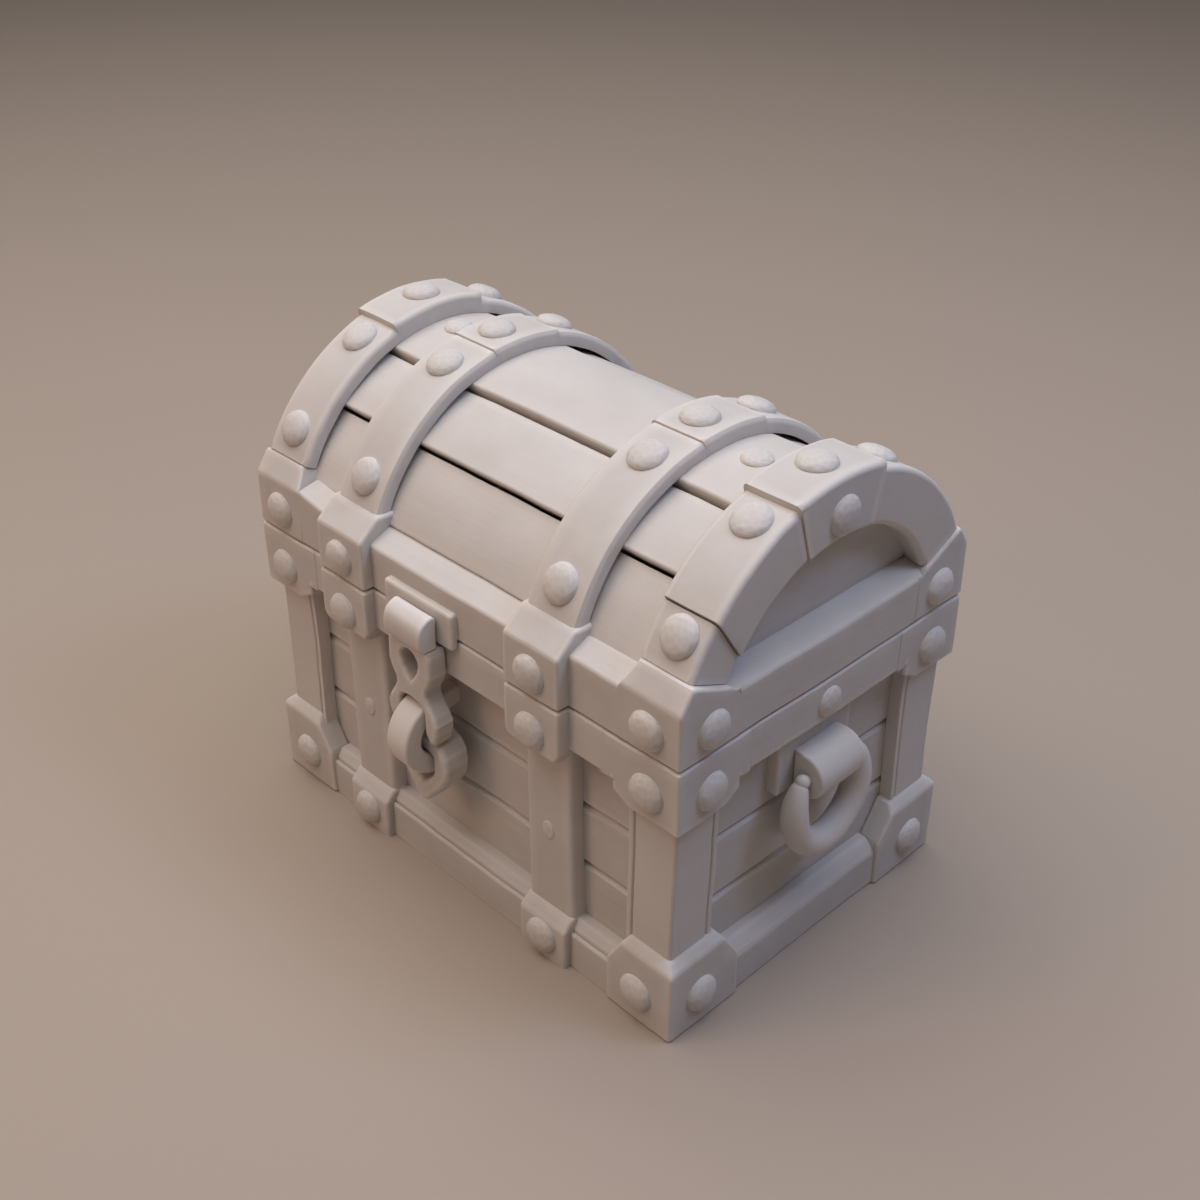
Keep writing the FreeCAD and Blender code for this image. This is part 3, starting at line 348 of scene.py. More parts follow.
def matte_cast(name, pale=BONE_PALE, deep=BONE_DEEP, grain=None, hammer=0.0, streak=0.35):
    """Matte cast surface: mottled colour, painted highlights on convex edges, fine pores, and grain or hammer
    marks.
    """
    material = bpy.data.materials.new(name)
    material.use_nodes = True
    tree = material.node_tree
    nodes, links = tree.nodes, tree.links
    surface = nodes["Principled BSDF"]
    surface.inputs["Specular IOR Level"].default_value = 0.35
    place = nodes.new("ShaderNodeTexCoord").outputs["Object"]

    mottle = filled(nodes.new("ShaderNodeTexNoise"), Scale=55.0, Detail=6.0, Roughness=0.62)
    links.new(place, mottle.inputs["Vector"])
    tones = nodes.new("ShaderNodeValToRGB")
    dark, light = tones.color_ramp.elements[0], tones.color_ramp.elements[1]
    dark.position, light.position = 0.3, 0.7
    dark.color, light.color = (*deep, 1), (*pale, 1)
    links.new(mottle.outputs["Fac"], tones.inputs["Fac"])

    # Painted highlight: the per-point edge mask mixes the colour towards a paler tone on convex edges
    highlight_mask = nodes.new("ShaderNodeAttribute")
    highlight_mask.attribute_name = "painted_edge_highlight"
    highlighted = nodes.new("ShaderNodeMix")
    highlighted.data_type = "RGBA"
    highlighted.inputs["B"].default_value = (*[min(1.0, value * EDGE_HIGHLIGHT) for value in pale], 1)
    links.new(highlight_mask.outputs["Fac"], highlighted.inputs["Factor"])
    links.new(tones.outputs["Color"], highlighted.inputs["A"])
    links.new(highlighted.outputs["Result"], surface.inputs["Base Color"])

    sheen = nodes.new("ShaderNodeMapRange")
    sheen.inputs["To Min"].default_value = 0.62
    sheen.inputs["To Max"].default_value = 0.86
    links.new(mottle.outputs["Fac"], sheen.inputs["Value"])
    links.new(sheen.outputs["Result"], surface.inputs["Roughness"])

    pores = filled(nodes.new("ShaderNodeTexNoise"), Scale=1400.0, Detail=3.0)
    links.new(place, pores.inputs["Vector"])
    last = relief(tree, pores.outputs["Fac"], 0.12, 0.0002)
    if grain:
        lay = filled(nodes.new("ShaderNodeMapping"), Scale=grain)
        links.new(place, lay.inputs["Vector"])
        streaks = filled(nodes.new("ShaderNodeTexNoise"), Scale=1.0, Detail=5.0, Distortion=0.4)
        links.new(lay.outputs["Vector"], streaks.inputs["Vector"])
        last = relief(tree, streaks.outputs["Fac"], streak, 0.0006, last)
    if hammer:
        marks = nodes.new("ShaderNodeTexVoronoi")
        marks.feature = "SMOOTH_F1"
        filled(marks, Scale=260.0, Smoothness=0.6)
        links.new(place, marks.inputs["Vector"])
        last = relief(tree, marks.outputs["Distance"], hammer, 0.0008, last)
    links.new(last.outputs["Normal"], surface.inputs["Normal"])
    return material


long_board = matte_cast("long_board_cast", grain=ALONG_X)
end_board = matte_cast("end_board_cast", grain=ALONG_Y)
upright_board = matte_cast("upright_board_cast", grain=ALONG_Z, streak=0.2)
vault_cast = matte_cast("vault_cast", grain=ALONG_X, streak=0.12)
long_rail_cast = matte_cast("long_rail_cast", grain=ALONG_X, streak=0.12)
end_rail_cast = matte_cast("end_rail_cast", grain=ALONG_Y, streak=0.24)
iron_cast = matte_cast("iron_cast", hammer=0.10)
rivet_cast = matte_cast("rivet_cast", RIVET_PALE, RIVET_DEEP, hammer=0.12)
ring_cast = matte_cast("ring_cast", hammer=0.06)


# Making a finished piece

SHARP_TURN = math.radians(48)
HARD_TURN = math.radians(55)
# How fast the painted edge highlight grows with the outward turn of a point's edges
EDGE_HIGHLIGHT_GAIN = 2.2


def placed(name, data):
    """New object in the scene."""
    made = bpy.data.objects.new(name, data)
    bpy.context.scene.collection.objects.link(made)
    return made


def painted_edge_highlights(mesh):
    """Keep how sharply each point stands out, for the finish to paint a highlight there."""
    bm = bmesh.new()
    bm.from_mesh(mesh)
    values = []
    for vert in bm.verts:
        turns = [edge.calc_face_angle_signed(0.0) for edge in vert.link_edges if len(edge.link_faces) == 2]
        hard = any(abs(turn) > HARD_TURN for turn in turns)
        values.append(0.0 if hard else limited(sum(turns) / max(1, len(turns)) * EDGE_HIGHLIGHT_GAIN))
    bm.free()
    attribute = mesh.attributes.new("painted_edge_highlight", "FLOAT", "POINT")
    attribute.data.foreach_set("value", values)


def piece(name, bm, body, finish, node, smooth_levels=0):
    """Turn a shape into an object that rides on a body and stands for a CAD node."""
    bmesh.ops.remove_doubles(bm, verts=bm.verts, dist=CUT_SNAP)
    bmesh.ops.scale(bm, vec=(MM, MM, MM), verts=bm.verts)
    for face in bm.faces:
        face.smooth = True
    for edge in bm.edges:
        edge.smooth = len(edge.link_faces) == 2 and edge.calc_face_angle(0.0) < SHARP_TURN
    mesh = bpy.data.meshes.new(name)
    bm.to_mesh(mesh)
    bm.free()
    painted_edge_highlights(mesh)
    mesh.materials.append(finish)
    made = placed(name, mesh)
    if smooth_levels:
        modifier = made.modifiers.new("smooth", "SUBSURF")
        modifier.levels = smooth_levels
        modifier.render_levels = smooth_levels
    flats = made.modifiers.new("flat_faces", "WEIGHTED_NORMAL")
    flats.keep_sharp = True
    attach(made, body)
    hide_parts(node)
    return made


# The same for each kind of piece, worked by hand

def plank_piece(name, bm, body, finish, node):
    return piece(name, hand_worked(bm), body, finish, node)


def iron_piece(name, bm, body, node):
    return piece(name, hand_worked(bm), body, iron_cast, node)


def rivet_piece(name, bm, body, node):
    return piece(name, hand_worked(bm), body, rivet_cast, node)


def fitting_piece(name, bm, body, node, sway=1.0, smooth_levels=0):
    return piece(name, hand_worked(bm, sway), body, ring_cast, node, smooth_levels)


# Walls, floor and posts

CRACK = 0.45
WALL_GRAIN = 0.22
FLOOR_GRAIN = 0.2


def wall_board(half, inner, outer, low, high):
    """One board of a wall that faces -Y, with a broad edge along its top, flattened by wear."""
    worn_top, edge = 1.5, 0.28
    top = high - CRACK
    bm = block(-half, half, -outer, -inner, low + CRACK, top)
    eased(bm, worn_top, 1, lambda a, b: both_at(a, b, Y, -outer) and both_at(a, b, Z, top))
    eased(bm, edge, 2, lambda a, b: runs(a, b, X))
    return divided(bm, (5.0, 0, 1.7))


def wall(half, inner, outer, courses):
    """Boards one above the other between the heights of the courses."""
    boards = [wall_board(half, inner, outer, low, high) for low, high in zip(courses, courses[1:])]
    return grained(joined(boards), X, WALL_GRAIN, lambda normal: normal.y < -0.5)


front_wall = wall(WALL_X, INNER_Y, WALL_Y, COURSES)
end_wall = wall(INNER_Y, INNER_X, WALL_X, END_COURSES)
bmesh.ops.rotate(end_wall, cent=(0, 0, 0), matrix=Matrix.Rotation(math.radians(90), 3, "Z"),
                 verts=end_wall.verts)
walls = {"front": (front_wall, long_board), "back": (mirrored(front_wall, Y), long_board),
         "right": (end_wall, end_board), "left": (mirrored(end_wall, X), end_board)}
for side, (shape, finish) in walls.items():
    plank_piece("wall_" + side, shape, "base", finish, side + "_planks")

floor_board = eased(block(-INNER_X, INNER_X, -INNER_Y, INNER_Y, 0, FLOOR_TOP), 0.5, 2)
divided(floor_board, (6.0, 2.4, 0))
grained(floor_board, X, FLOOR_GRAIN, lambda normal: normal.z > 0.5)
plank_piece("floor", floor_board, "base", long_board, "floor_board")


def corner_post():
    """L-shaped post at the front right corner, with a bead along each inner edge."""
    groove, bead, corner_ease, edge = 0.9, 1.3, 0.9, 0.3
    end_x = POST_X - POST_WIDTH
    end_y = POST_Y - POST_WIDTH
    outline = [(POST_X, -POST_Y), (POST_X, -end_y - bead - groove),
               (POST_X - groove, -end_y - bead - groove / 2), (POST_X, -end_y - bead), (POST_X, -end_y),
               (WALL_X, -end_y), (WALL_X, -WALL_Y), (end_x, -WALL_Y), (end_x, -POST_Y),
               (end_x + bead, -POST_Y), (end_x + bead + groove / 2, groove - POST_Y),
               (end_x + bead + groove, -POST_Y)]
    post = drawn_out(outline, Z, 0, RIM)
    eased(post, corner_ease, 3, lambda a, b: both_at(a, b, X, POST_X) and both_at(a, b, Y, -POST_Y))
    eased(post, edge, 2, lambda a, b: runs(a, b, Z))
    return divided(post, (0, 0, 5.0))


for corner, post in zip(("front_right", "front_left", "back_right", "back_left"), at_corners(corner_post())):
    piece("post_" + corner, hand_worked(post, 1.2), "base", upright_board, "corner_post_" + corner)


# Rails

SPLIT_EASE = 0.22
LID_RISE = 1.4


def long_rail(outline, half, radius=RAIL_EASE):
    """Rail along X from a section of (y, z) points, with all but its inner edges eased."""
    inner = max(y for y, z in outline)
    rail = drawn_out(outline, X, -half, half)
    eased(rail, radius, 3, lambda a, b: runs(a, b, X) and not both_at(a, b, Y, inner))
    return divided(rail, (5.0, 3.0, 3.0))


def bowed_rail(outline, half, rise=0.0):
    """Rail that bows out between the strap heads; the lid's is also taller beyond the heads."""
    bow, bow_half = 0.7, 42.0
    right_start, right_run, left_start = 40.0, 4.0, 45.0
    rise_height, inner_share, outer_share = 13.0, 0.4, 1.6
    rail = divided(long_rail(outline, half), (2.5, 0, 0))
    for vert in rail.verts:
        middle = max(0.0, 1.0 - (vert.co.x / bow_half) ** 2)
        out = limited((-vert.co.y - LID_INNER_Y) / (UPPER_Y - LID_INNER_Y))
        right = limited((vert.co.x - right_start) / right_run)
        left = limited((-vert.co.x - left_start) / (half - left_start))
        up = limited((vert.co.z - LID_BASE) / rise_height)
        vert.co.y -= bow * middle * out
        vert.co.z += rise * up * max(right, left * (inner_share + outer_share * out))
    return rail


def end_rail(outline, half):
    """Rail along Y on the right end, from the section of a front rail."""
    turned = [(-y, z) for y, z in outline]
    inner = min(x for x, z in turned)
    rail = drawn_out(turned, Y, -half, half)
    eased(rail, RAIL_EASE, 3, lambda a, b: runs(a, b, Y) and not both_at(a, b, X, inner))
    return divided(rail, (3.0, 5.0, 3.0))


def bottom_outline(face, wall_face, split=False):
    """Section of a bottom rail; the front one has a long split near its upper edge."""
    ledge = [(-face, 11.5)]
    if split:
        ledge = [(-face, 11.2), (0.7 - face, 12.0), (0.95 - face, 11.1), (1.25 - face, 12.7)]
    back = [(3.0 - face, BOTTOM_RAIL_TOP), (-wall_face, BOTTOM_RAIL_TOP), (-wall_face, 0)]
    return [(-face, 0)] + ledge + back


def top_outline(face, wall_face):
    """Section of a top rail."""
    return [(-face, TOP_RAIL_BASE), (-face, RIM), (-wall_face, RIM), (-wall_face, TOP_RAIL_BASE)]


def lid_outline(face, inner):
    """Section of a lid rail: an upright face, a slope back from it and a flat top."""
    return [(-face, LID_BASE), (-face, LID_FACE_TOP), (LID_SLOPE - face, LID_RAIL_TOP),
            (-inner, LID_RAIL_TOP), (-inner, LID_BASE)]


def lid_end_rail():
    """Rail on the lid's right end; its slope runs on behind the brackets as far as the bands."""
    far, lap, from_face, from_panel, from_base = 40.0, 0.1, 0.25, 0.2, 2.0
    rail = end_rail(lid_outline(UPPER_X, PANEL_X), LID_END_Y)
    steepness = (LID_RAIL_TOP - LID_FACE_TOP) / LID_SLOPE
    front = UPPER_X - from_face
    back = PANEL_X + from_panel
    base = LID_BASE + from_base
    behind = [(front, base), (front, LID_FACE_TOP + steepness * from_face),
              (UPPER_X - LID_SLOPE, LID_RAIL_TOP), (back, LID_RAIL_TOP), (back, base)]
    filler = divided(drawn_out(behind, Y, -far, lap - LID_END_Y), (3.0, 3.0, 3.0))
    return joined([rail, filler, mirrored(filler, Y)])


def rail_set(front, back, right):
    """Rails of the four sides; the back one is given as it would stand in front."""
    return {"front": front, "back": mirrored(back, Y), "right": right, "left": mirrored(right, X)}


bottom_rails = rail_set(long_rail(bottom_outline(RAIL_Y, WALL_Y, True), BOTTOM_END_X, SPLIT_EASE),
                        long_rail(bottom_outline(RAIL_Y, WALL_Y), BOTTOM_END_X),
                        end_rail(bottom_outline(RAIL_X, WALL_X), BOTTOM_END_Y))
top_rails = rail_set(bowed_rail(top_outline(UPPER_Y, WALL_Y), RIM_END_X),
                     long_rail(top_outline(RAIL_Y, WALL_Y), RIM_END_X),
                     end_rail(top_outline(UPPER_X, WALL_X), RIM_END_Y))
lid_rails = rail_set(bowed_rail(lid_outline(UPPER_Y, LID_INNER_Y), LID_END_X, LID_RISE),
                     long_rail(lid_outline(RAIL_Y, LID_INNER_Y), LID_END_X),
                     lid_end_rail())
levels = (("bottom", "base", bottom_rails), ("top", "base", top_rails), ("lid", "lid", lid_rails))
for level, body, rails in levels:
    for side, rail in rails.items():
        finish = long_rail_cast if side in ("front", "back") else end_rail_cast
        piece(f"rail_{level}_{side}", hand_worked(rail), body, finish, f"{level}_rail_{side}")


# Corner brackets

def corner_outline(outer_x, outer_y, inner_x, inner_y, end_x, end_y):
    """L-shaped plan of a piece round the front right corner."""
    return [(outer_x, -outer_y), (outer_x, -end_y), (inner_x, -end_y),
            (inner_x, -inner_y), (end_x, -inner_y), (end_x, -outer_y)]


def away_from_ends(end_x, end_y):
    """Pick edges that do not lie in the two end faces of a bracket's legs."""
    return lambda a, b: not both_at(a, b, X, end_x) and not both_at(a, b, Y, -end_y)


def foot_bracket():
    """Foot with a sloping upper edge; its two legs are cut off at a slant."""
    top, cut_base, cut_run, slope = 24.6, 14.3, 6.5, 2.2
    cut_rise = top - cut_base
    outline = corner_outline(FOOT_BRACKET_X, FOOT_BRACKET_Y, WALL_X, WALL_Y, BOTTOM_END_X, BOTTOM_END_Y)
    bm = drawn_out(outline, Z, 0, top)
    sliced(bm, (BOTTOM_END_X, 0, cut_base), (-cut_rise, 0, cut_run))
    sliced(bm, (0, -BOTTOM_END_Y, cut_base), (0, cut_rise, cut_run))
    sliced(bm, (0, -FOOT_BRACKET_Y, top - slope), (0, -1, 1))
    sliced(bm, (FOOT_BRACKET_X, 0, top - slope), (1, 0, 1))
    eased(bm, IRON_EASE)
    return divided(bm, (5.0, 5.0, 5.0))


def rim_bracket():
    """Corner of the rim, level with the rails, and an apron below them with cut-off lower corners."""
    base, step, cut_run, cut_rise = 66.4, 3.4, 5.4, 3.0
    apron_x = RIM_END_X + step
    apron_y = RIM_END_Y + step
    outline = corner_outline(BRACKET_X, BRACKET_Y, WALL_X, WALL_Y, RIM_END_X, RIM_END_Y)
    bm = drawn_out(outline, Z, TOP_RAIL_BASE, RIM)
    for point, normal in (((apron_x, 0, 0), (1, 0, 0)), ((0, -apron_y, 0), (0, 1, 0))):
        bmesh.ops.bisect_plane(bm, geom=all_of(bm), plane_co=point, plane_no=normal, dist=CUT_SNAP)
    bm.normal_update()
    under = []
    for face in bm.faces:
        middle = face.calc_center_bounds()
        if face.normal.z < -0.9 and middle.x > apron_x and middle.y < -apron_y:
            under.append(face)
    made = bmesh.ops.extrude_face_region(bm, geom=under)
    lowered = of_kind(bmesh.types.BMVert, made["geom"])
    bmesh.ops.translate(bm, vec=(0, 0, base - TOP_RAIL_BASE), verts=lowered)
    bmesh.ops.delete(bm, geom=[face for face in under if face.is_valid], context="FACES")
    bmesh.ops.recalc_face_normals(bm, faces=bm.faces)
    sliced(bm, (apron_x + cut_run, 0, base), (-cut_rise, 0, -cut_run))
    sliced(bm, (0, -apron_y - cut_run, base), (0, cut_rise, -cut_run))
    off_ends = away_from_ends(RIM_END_X, RIM_END_Y)
    eased(bm, RAIL_EASE, 3, lambda a, b: off_ends(a, b) and not both_at(a, b, Z, TOP_RAIL_BASE))
    return divided(bm, (5.0, 5.0, 3.0))


def lid_bracket():
    """Corner of the lid: a ramp up to the end band, whose seat slopes down towards the vault's centre."""
    peak_y, peak, face_top, end_run, end_cut = 49.8, 106.6, 100.7, 2.6, 1.9
    outline = corner_outline(BRACKET_X, BRACKET_Y, PANEL_X, LID_INNER_Y, LID_END_X, LID_END_Y)
    bm = drawn_out(outline, Z, LID_BASE, peak + 1)
    sliced(bm, (0, -BRACKET_Y, face_top), (0, face_top - peak, BRACKET_Y - peak_y))
    sliced(bm, (0, 0, VAULT_Z), (0, peak - VAULT_Z, peak_y))
    sliced(bm, (LID_END_X, 0, face_top), (face_top - peak, 0, end_run))
    seat_end = VAULT_Z + (peak - VAULT_Z) * LID_END_Y / peak_y
    sliced(bm, (0, -LID_END_Y, seat_end - end_cut), (0, 1, 1))
    off_ends = away_from_ends(LID_END_X, LID_END_Y)

    def outside(a, b):
        inner_front = min(a.y, b.y) > -LID_INNER_Y - NEAR
        inner_side = max(a.x, b.x) < PANEL_X + NEAR and min(a.y, b.y) > -peak_y - NEAR
        return off_ends(a, b) and not inner_front and not inner_side

    eased(bm, IRON_EASE, 3, outside)
    return divided(bm, (5.0, 5.0, 3.0))


iron_piece("brackets_foot", joined(at_corners(foot_bracket())), "base", "foot_brackets")
iron_piece("brackets_rim", joined(at_corners(rim_bracket())), "base", "rim_brackets")
iron_piece("brackets_lid", joined(at_corners(lid_bracket())), "lid", "lid_brackets")


# Straps with their feet and heads

def strap():
    """Upright strap between its foot and its head."""
    ease = 1.4
    bm = block(-STRAP_HALF, STRAP_HALF, -STRAP_Y, -WALL_Y, BOTTOM_RAIL_TOP, TOP_RAIL_BASE)
    eased(bm, ease, 3, lambda a, b: runs(a, b, Z) and both_at(a, b, Y, -STRAP_Y))
    return divided(bm, (4.0, 0, 4.0))


def strap_foot():
    """Foot of a strap, with a sloping upper edge."""
    ease, face_top, slope_y, top = 1.0, 12.4, 52.2, 15.6
    outline = [(-FOOT_Y, 0), (-FOOT_Y, face_top), (-slope_y, top), (-WALL_Y, top), (-WALL_Y, 0)]
    bm = drawn_out(outline, X, -FOOT_HALF, FOOT_HALF)
    eased(bm, ease, 3, lambda a, b: min(a.z, b.z) > 1 or runs(a, b, Z))
    return divided(bm, (4.0, 3.0, 4.0))


def strap_head():
    """Head of a strap on the rim, with cut-off lower corners and a sloping lower edge."""
    base, face_base, slope_y, cut_top, cut_run, cut_rise = 67.5, 69.6, 54.4, 71.6, 2.6, 4.1
    outline = [(-HEAD_Y, face_base), (-HEAD_Y, RIM), (-WALL_Y, RIM), (-WALL_Y, base), (-slope_y, base)]
    bm = drawn_out(outline, X, -CAP_HALF, CAP_HALF)
    for side in (-1, 1):
        sliced(bm, (side * CAP_HALF, 0, cut_top), (side * cut_rise, 0, -cut_run))
    eased(bm, IRON_EASE, 3, lambda a, b: min(a.y, b.y) < 0.1 - slope_y)
    return divided(bm, (4.0, 3.0, 4.0))


def lid_head():
    """Head on the lid's rail, with a slope up to the band."""
    face_top, slope_y, top = 99.7, 51.0, 105.1
    outline = [(-HEAD_Y, LID_BASE), (-HEAD_Y, face_top), (-slope_y, top), (-LID_INNER_Y, top),
               (-LID_INNER_Y, LID_BASE)]
    bm = drawn_out(outline, X, -CAP_HALF, CAP_HALF)
    eased(bm, IRON_EASE)
    return divided(bm, (4.0, 3.0, 4.0))


front_straps = joined(at_straps(strap()))
back_straps = mirrored(front_straps, Y)
iron_piece("straps_front", front_straps, "base", "front_straps")
iron_piece("straps_back", back_straps, "base", "back_straps")
front_feet = at_straps(strap_foot())
back_feet = [mirrored(foot, Y) for foot in front_feet]
iron_piece("straps_foot", joined(front_feet + back_feet), "base", "strap_feet")
iron_piece("straps_head", joined(at_straps(strap_head())), "base", "strap_heads")
iron_piece("lid_heads", joined(at_straps(lid_head())), "lid", "lid_strap_heads")


# Vault of the lid

VAULT_GRAIN = 0.07
PANEL_GRAIN = 0.25


def vault_board(low_angle, high_angle, high_radius):
    """Board along the vault, with its lower edge proud of the board below."""
    count, edge, proud_edge = 7, 0.4, 0.9
    shares = [index / count for index in range(count + 1)]
    turns = [low_angle + (high_angle - low_angle) * share for share in shares]
    outside = [on_vault(0, PLANK_LOW + (high_radius - PLANK_LOW) * share, turn)
               for share, turn in zip(shares, turns)]
    inside = [on_vault(0, VAULT_INNER, turn) for turn in reversed(turns)]
    board = drawn_out([(point.y, point.z) for point in outside + inside], X, -PANEL_X, PANEL_X)
    proud = PLANK_LOW - 0.05
    eased(board, edge, 2, lambda a, b: runs(a, b, X) and VAULT_INNER + 1 < radius_of(a) < proud)
    eased(board, proud_edge, 4, lambda a, b: runs(a, b, X) and radius_of(a) > proud)
    divided(board, (5.0, 0, 0))
    return grained(board, X, VAULT_GRAIN, lambda normal: normal.z > 0.25)


def end_panel():
    """Arched board that closes the right end of the lid."""
    thickness, count = 4.0, 36
    start = math.degrees(math.acos((LID_BASE - VAULT_Z) / VAULT_INNER))
    turns = [start - 2 * start * index / count for index in range(count + 1)]
    outline = [(max(-LID_INNER_Y, min(LID_INNER_Y, point.y)), point.z)
               for point in (on_vault(0, VAULT_INNER, turn) for turn in turns)]
    panel = divided(drawn_out(outline, X, PANEL_X - thickness, PANEL_X), (0, 4.0, 1.7))
    return grained(panel, Y, PANEL_GRAIN, lambda normal: normal.x > 0.5)


ridge_board = vault_board(-19.6, 19.6, PLANK_LOW)
upper_board = vault_board(43.6, 20.7, PLANK_HIGH)
lower_board = vault_board(69.2, 44.7, PLANK_HIGH)
plank_piece("vault_ridge", ridge_board, "lid", vault_cast, "lid_ridge_plank")
upper_pair = joined([upper_board, mirrored(upper_board, Y)])
lower_pair = joined([lower_board, mirrored(lower_board, Y)])
plank_piece("vault_upper", upper_pair, "lid", vault_cast, "lid_upper_planks")
plank_piece("vault_lower", lower_pair, "lid", vault_cast, "lid_lower_planks")
right_panel = end_panel()
left_panel = mirrored(right_panel, X)
plank_piece("panel_right", right_panel, "lid", end_board, "lid_end_panel_right")
plank_piece("panel_left", left_panel, "lid", end_board, "lid_end_panel_left")


# Bands over the vault, with angles in degrees from the top towards the front

BAND_EASE = 1.6
MIDDLE_START = 69.6
MIDDLE_JOINT = 8.8
BACK_JOINT = -15.0
MIDDLE_LIFT = 0.6
END_START = 65.0
END_JOINT = 16.8
END_LIFT = 1.8
END_PROUD = 0.5
FOOT_DROP = 0.8
GAP_HALF = 0.2
GAP_TOP = Vector((0, -41.9, 119.0))
GAP_LEAN = Vector((0, -12.3, -8.3)).normalized()


def middle_piece(low_angle, high_angle, lift=0.0):
    """Piece of a middle band."""
    half, end_ease = 8.7, 0.7
    top = BAND_OUTER + lift
    section = [(-half, BAND_INNER), (half, BAND_INNER), (half, top), (-half, top)]
    band = round_vault(section, low_angle, high_angle)

    def upper_edge(a, b):
        high = min(radius_of(a), radius_of(b)) > top - 0.05
        return high and abs(a.x - b.x) < NEAR and abs(a.x) > half - NEAR

    eased(band, BAND_EASE, 3, upper_edge)
    eased(band, end_ease, 2, lambda a, b: runs(a, b, X, 8) and min(radius_of(a), radius_of(b)) > top - 0.3)
    return divided(band, (4.0, 0, 0))


def end_piece(low_angle, high_angle, lift=0.0, proud=0.0):
    """Piece of the right end band: a plate on the vault and a flange down the end."""
    inner_edge, flange_low, end_ease = 62.0, 40.0, 0.6
    face = END_FACE + proud
    top = BAND_OUTER + lift
    section = [(inner_edge, BAND_INNER), (PANEL_X, BAND_INNER), (PANEL_X, flange_low), (face, flange_low),
               (face, top), (inner_edge, top)]
    band = round_vault(section, low_angle, high_angle)

    def long_edge(a, b):
        level = abs(a.x - b.x) < NEAR and abs(radius_of(a) - radius_of(b)) < NEAR
        return level and (radius_of(a) > top - 0.05 or a.x > face - NEAR)

    eased(band, BAND_EASE, 3, long_edge)
    eased(band, end_ease, 2, lambda a, b: runs(a, b, X, 4) or abs(radius_of(a) - radius_of(b)) > 4)
    return divided(band, (4.0, 0, 0))


middle_bands = {"front": middle_piece(MIDDLE_JOINT, MIDDLE_START),
                "ridge": middle_piece(BACK_JOINT, MIDDLE_JOINT, MIDDLE_LIFT),
                "back": middle_piece(-MIDDLE_START, BACK_JOINT)}
for place, band in middle_bands.items():
    iron_piece("band_middle_" + place, joined(at_straps(band)), "lid", "middle_band_" + place)
end_ridge = at_ends(end_piece(BACK_JOINT, END_JOINT, END_LIFT, END_PROUD))
end_back = at_ends(end_piece(-END_START, BACK_JOINT))
front_right = sliced(end_piece(END_JOINT, 56.6), GAP_TOP - GAP_LEAN * GAP_HALF, GAP_LEAN)
end_front = joined([front_right, mirrored(end_piece(END_JOINT, END_START), X)])
foot_right = end_piece(46.0, END_START, -FOOT_DROP, -FOOT_DROP)
end_foot = sliced(foot_right, GAP_TOP + GAP_LEAN * GAP_HALF, -GAP_LEAN)
end_bands = {"ridge": end_ridge, "back": end_back, "front": end_front, "foot": end_foot}
for place, band in end_bands.items():
    iron_piece("band_end_" + place, band, "lid", "end_band_" + place)


# Hinges at the back, eased from their CAD shapes

def eased_copy(node, name, body, finish, width):
    """Copy of a CAD node with its edges eased."""
    bm = bmesh.new()
    bm.from_mesh(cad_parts[node].data)
    bmesh.ops.scale(bm, vec=(1 / MM,) * 3, verts=bm.verts)
    bmesh.ops.remove_doubles(bm, verts=bm.verts, dist=SAME_POINT)
    bmesh.ops.dissolve_limit(bm, angle_limit=math.radians(1), verts=bm.verts, edges=bm.edges)
    made = piece(name, bm, body, finish, node)
    modifier = made.modifiers.new("eased", "BEVEL")
    modifier.width = width * MM
    modifier.segments = 2
    modifier.limit_method = "ANGLE"
    modifier.angle_limit = math.radians(40)


eased_copy("base_hinge_leaves", "hinge_leaves_base", "base", iron_cast, 0.6)
eased_copy("lid_hinge_leaves", "hinge_leaves_lid", "lid", iron_cast, 0.6)
eased_copy("hinge_pins", "hinge_pin_pair", "base", iron_cast, 0.3)


# Hasp, staple and lock ring; the outlines are halves of (x, z) points from the middle line

HASP_X = -7.2
FORK_BACK, FORK_FRONT, FORK_EASE = -54.9, -60.9, 0.95
FORK_OUTLINE = ((0, 81.6), (7.4, 81.6), (8.1, 79.6), (8.1, 73.6), (7.2, 71.2), (5.8, 68.9), (5.6, 67.2),
                (6.5, 65.2), (8.7, 61.9), (9.7, 59.6), (9.5, 57.0), (8.3, 53.4), (6.5, 53.4), (4.9, 56.0),
                (4.9, 60.8), (4.7, 62.4), (3.8, 63.8), (2.0, 64.5), (0, 64.7), (0, 69.9), (1.2, 71.2),
                (2.5, 73.3), (3.3, 75.6), (3.2, 77.3), (2.2, 78.8), (0.9, 79.5), (0, 79.6))
LOCK_BACK, LOCK_FRONT, LOCK_EASE = -51.1, -59.3, 1.25
LOCK_OUTLINE = ((0, 52.6), (4.6, 52.6), (8.0, 51.2), (9.9, 48.6), (10.5, 45.4), (10.2, 42.2), (8.6, 38.8),
                (1.9, 30.8), (0.8, 30.2), (0, 30.2), (0, 36.4), (1.4, 37.2), (3.7, 39.6), (4.8, 42.0),
                (4.9, 44.2), (4.9, 47.0), (3.2, 47.9), (0, 47.9))
PLATE_LEFT, PLATE_RIGHT, PLATE_FRONT, PLATE_EASE = -21.2, 5.2, -56.6, 1.1
PLATE_OUTLINE = ((PLATE_FRONT, 82.5), (PLATE_FRONT, 93.4), (-RAIL_Y, 93.4), (-RAIL_Y, 85.8), (-54.9, 85.8),
                 (-54.9, 82.5))


